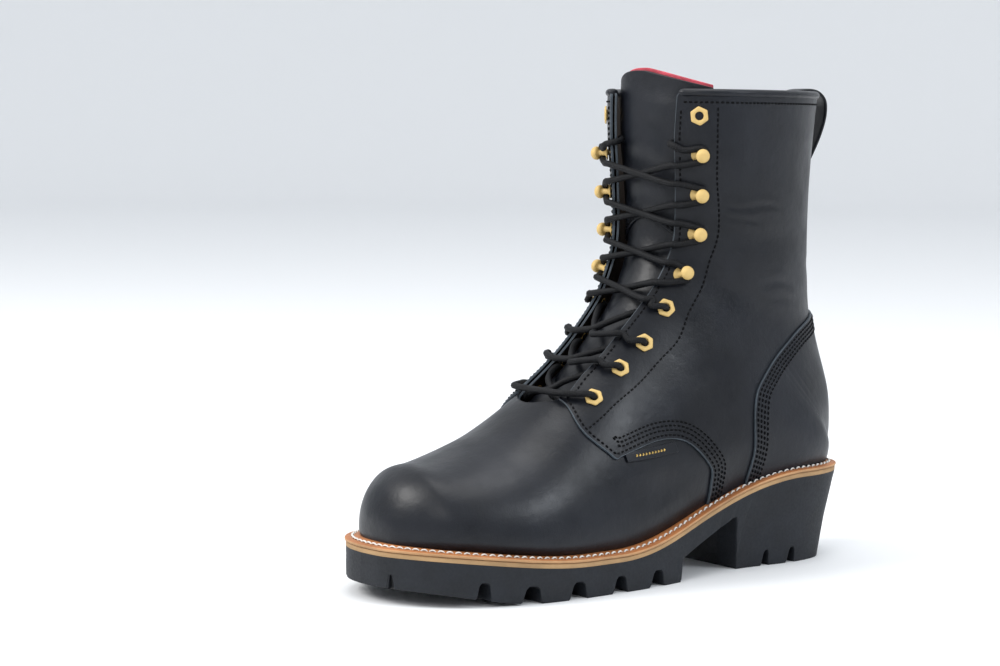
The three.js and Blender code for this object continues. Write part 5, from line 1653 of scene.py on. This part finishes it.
class BOOT_OT_stage(bpy.types.Operator):
    """Sets the floor, the light and the camera"""

    bl_idname = "boot.stage"
    bl_label = "Stage"

    def execute(self, context):
        # A flat floor that rises softly into a round wall, so that no edge shows behind the boot.
        bend = [(5.0 + 1.2 * math.sin(a), 1.2 - 1.2 * math.cos(a)) for a in np.linspace(0, math.pi / 2, 14)]
        points, faces, _, _ = lathe([(0.001, 0.0), (1.5, 0.0), (5.0, 0.0), *bend[1:], (6.2, 3.0)], 96)
        floor = mesh_object("floor", points, faces)
        material, _, _ = new_material("pale floor", (0.80, 0.81, 0.82), 0.7)
        floor.data.materials.append(material)
        floor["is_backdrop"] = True
        self.area((-0.75, -1.55, 1.55), (0.0, -0.03, 0.08), 1.1, 34, (1.0, 0.985, 0.96))
        self.area((1.7, 0.9, 1.5), (0.0, 0.02, 0.12), 0.8, 16, (0.90, 0.95, 1.0))
        self.area((1.2, -1.9, 1.4), (0.0, -0.05, 0.05), 0.7, 9, (1.0, 0.98, 0.95))
        self.area((0.0, 0.1, 2.4), (0.0, 0.0, 0.0), 1.6, 20, (1.0, 1.0, 1.0))
        world = bpy.data.worlds.new("room")
        context.scene.world = world
        world.use_nodes = True
        back = world.node_tree.nodes["Background"]
        back.inputs["Color"].default_value = (0.93, 0.96, 1.0, 1)
        back.inputs["Strength"].default_value = 1.0
        self.camera(context)
        context.scene.view_settings.view_transform = "Standard"
        return {"FINISHED"}

    def area(self, place, target, size, power, color):
        light = bpy.data.lights.new("soft light", "AREA")
        light.shape = "DISK"
        light.size = size
        light.energy = power
        light.color = color
        made = bpy.data.objects.new("soft light", light)
        made.location = place
        made.rotation_euler = (Vector(target) - Vector(place)).to_track_quat("-Z", "Y").to_euler()
        bpy.context.scene.collection.objects.link(made)

    def camera(self, context):
        azimuth, pitch, roll = math.radians(54.66), math.radians(4.98), math.radians(0.45)
        flat = math.cos(pitch)
        forward = Vector((-math.sin(azimuth) * flat, math.cos(azimuth) * flat, -math.sin(pitch)))
        right = Vector((math.cos(azimuth), math.sin(azimuth), 0))
        up = right.cross(forward)
        rolled_right = right * math.cos(roll) + up * math.sin(roll)
        rolled_up = up * math.cos(roll) - right * math.sin(roll)
        data = bpy.data.cameras.new("camera")
        data.lens = 2603.0 / 1000 * 36
        data.sensor_width = 36
        data.clip_start, data.clip_end = 0.05, 30
        camera = bpy.data.objects.new("camera", data)
        basis = Matrix((rolled_right, rolled_up, -forward)).transposed().to_4x4()
        basis.translation = Vector(((1088.5 + SHIFT[0]) * MM, (-837.4 + SHIFT[1]) * MM, 246.35 * MM))
        camera.matrix_world = basis
        context.scene.collection.objects.link(camera)
        context.scene.camera = camera


OPERATORS = (BOOT_OT_materials, BOOT_OT_sole, BOOT_OT_upper, BOOT_OT_stitching, BOOT_OT_tongue,
             BOOT_OT_binding,
             BOOT_OT_loop, BOOT_OT_tag, BOOT_OT_eyelets, BOOT_OT_hooks, BOOT_OT_lace, BOOT_OT_stage)


class BOOT_PT_panel(bpy.types.Panel):
    """Lists the boot's pieces, sizes and colours"""

    bl_idname = "BOOT_PT_panel"
    bl_label = "Logger Boot"
    bl_space_type = "VIEW_3D"
    bl_region_type = "UI"
    bl_category = "Boot"

    def draw(self, context):
        layout = self.layout
        for group in (context.scene.boot_sizes, context.scene.boot_colors):
            box = layout.box()
            for name in group.bl_rna.properties.keys():
                if name not in ("rna_type", "name"):
                    box.prop(group, name)
        for operator in OPERATORS:
            layout.operator(operator.bl_idname)


CLASSES = (BootSizes, BootColors, *OPERATORS, BOOT_PT_panel)


def register():
    for cls in CLASSES:
        bpy.utils.register_class(cls)
    bpy.types.Scene.boot_sizes = PointerProperty(type=BootSizes)
    bpy.types.Scene.boot_colors = PointerProperty(type=BootColors)


def unregister():
    del bpy.types.Scene.boot_sizes
    del bpy.types.Scene.boot_colors
    for cls in reversed(CLASSES):
        bpy.utils.unregister_class(cls)


def main():
    register()
    bpy.ops.boot.materials()
    bpy.ops.boot.sole()
    bpy.ops.boot.upper()
    bpy.ops.boot.stitching()
    bpy.ops.boot.tongue()
    bpy.ops.boot.binding()
    bpy.ops.boot.loop()
    bpy.ops.boot.tag()
    bpy.ops.boot.eyelets()
    bpy.ops.boot.hooks()
    bpy.ops.boot.lace()
    bpy.ops.boot.stage()
    low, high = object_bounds()
    {"cad": [list(CAD_LOW), list(CAD_HIGH)], "visual": [list(low), list(high)]}


if __name__ == "__main__":
    main()
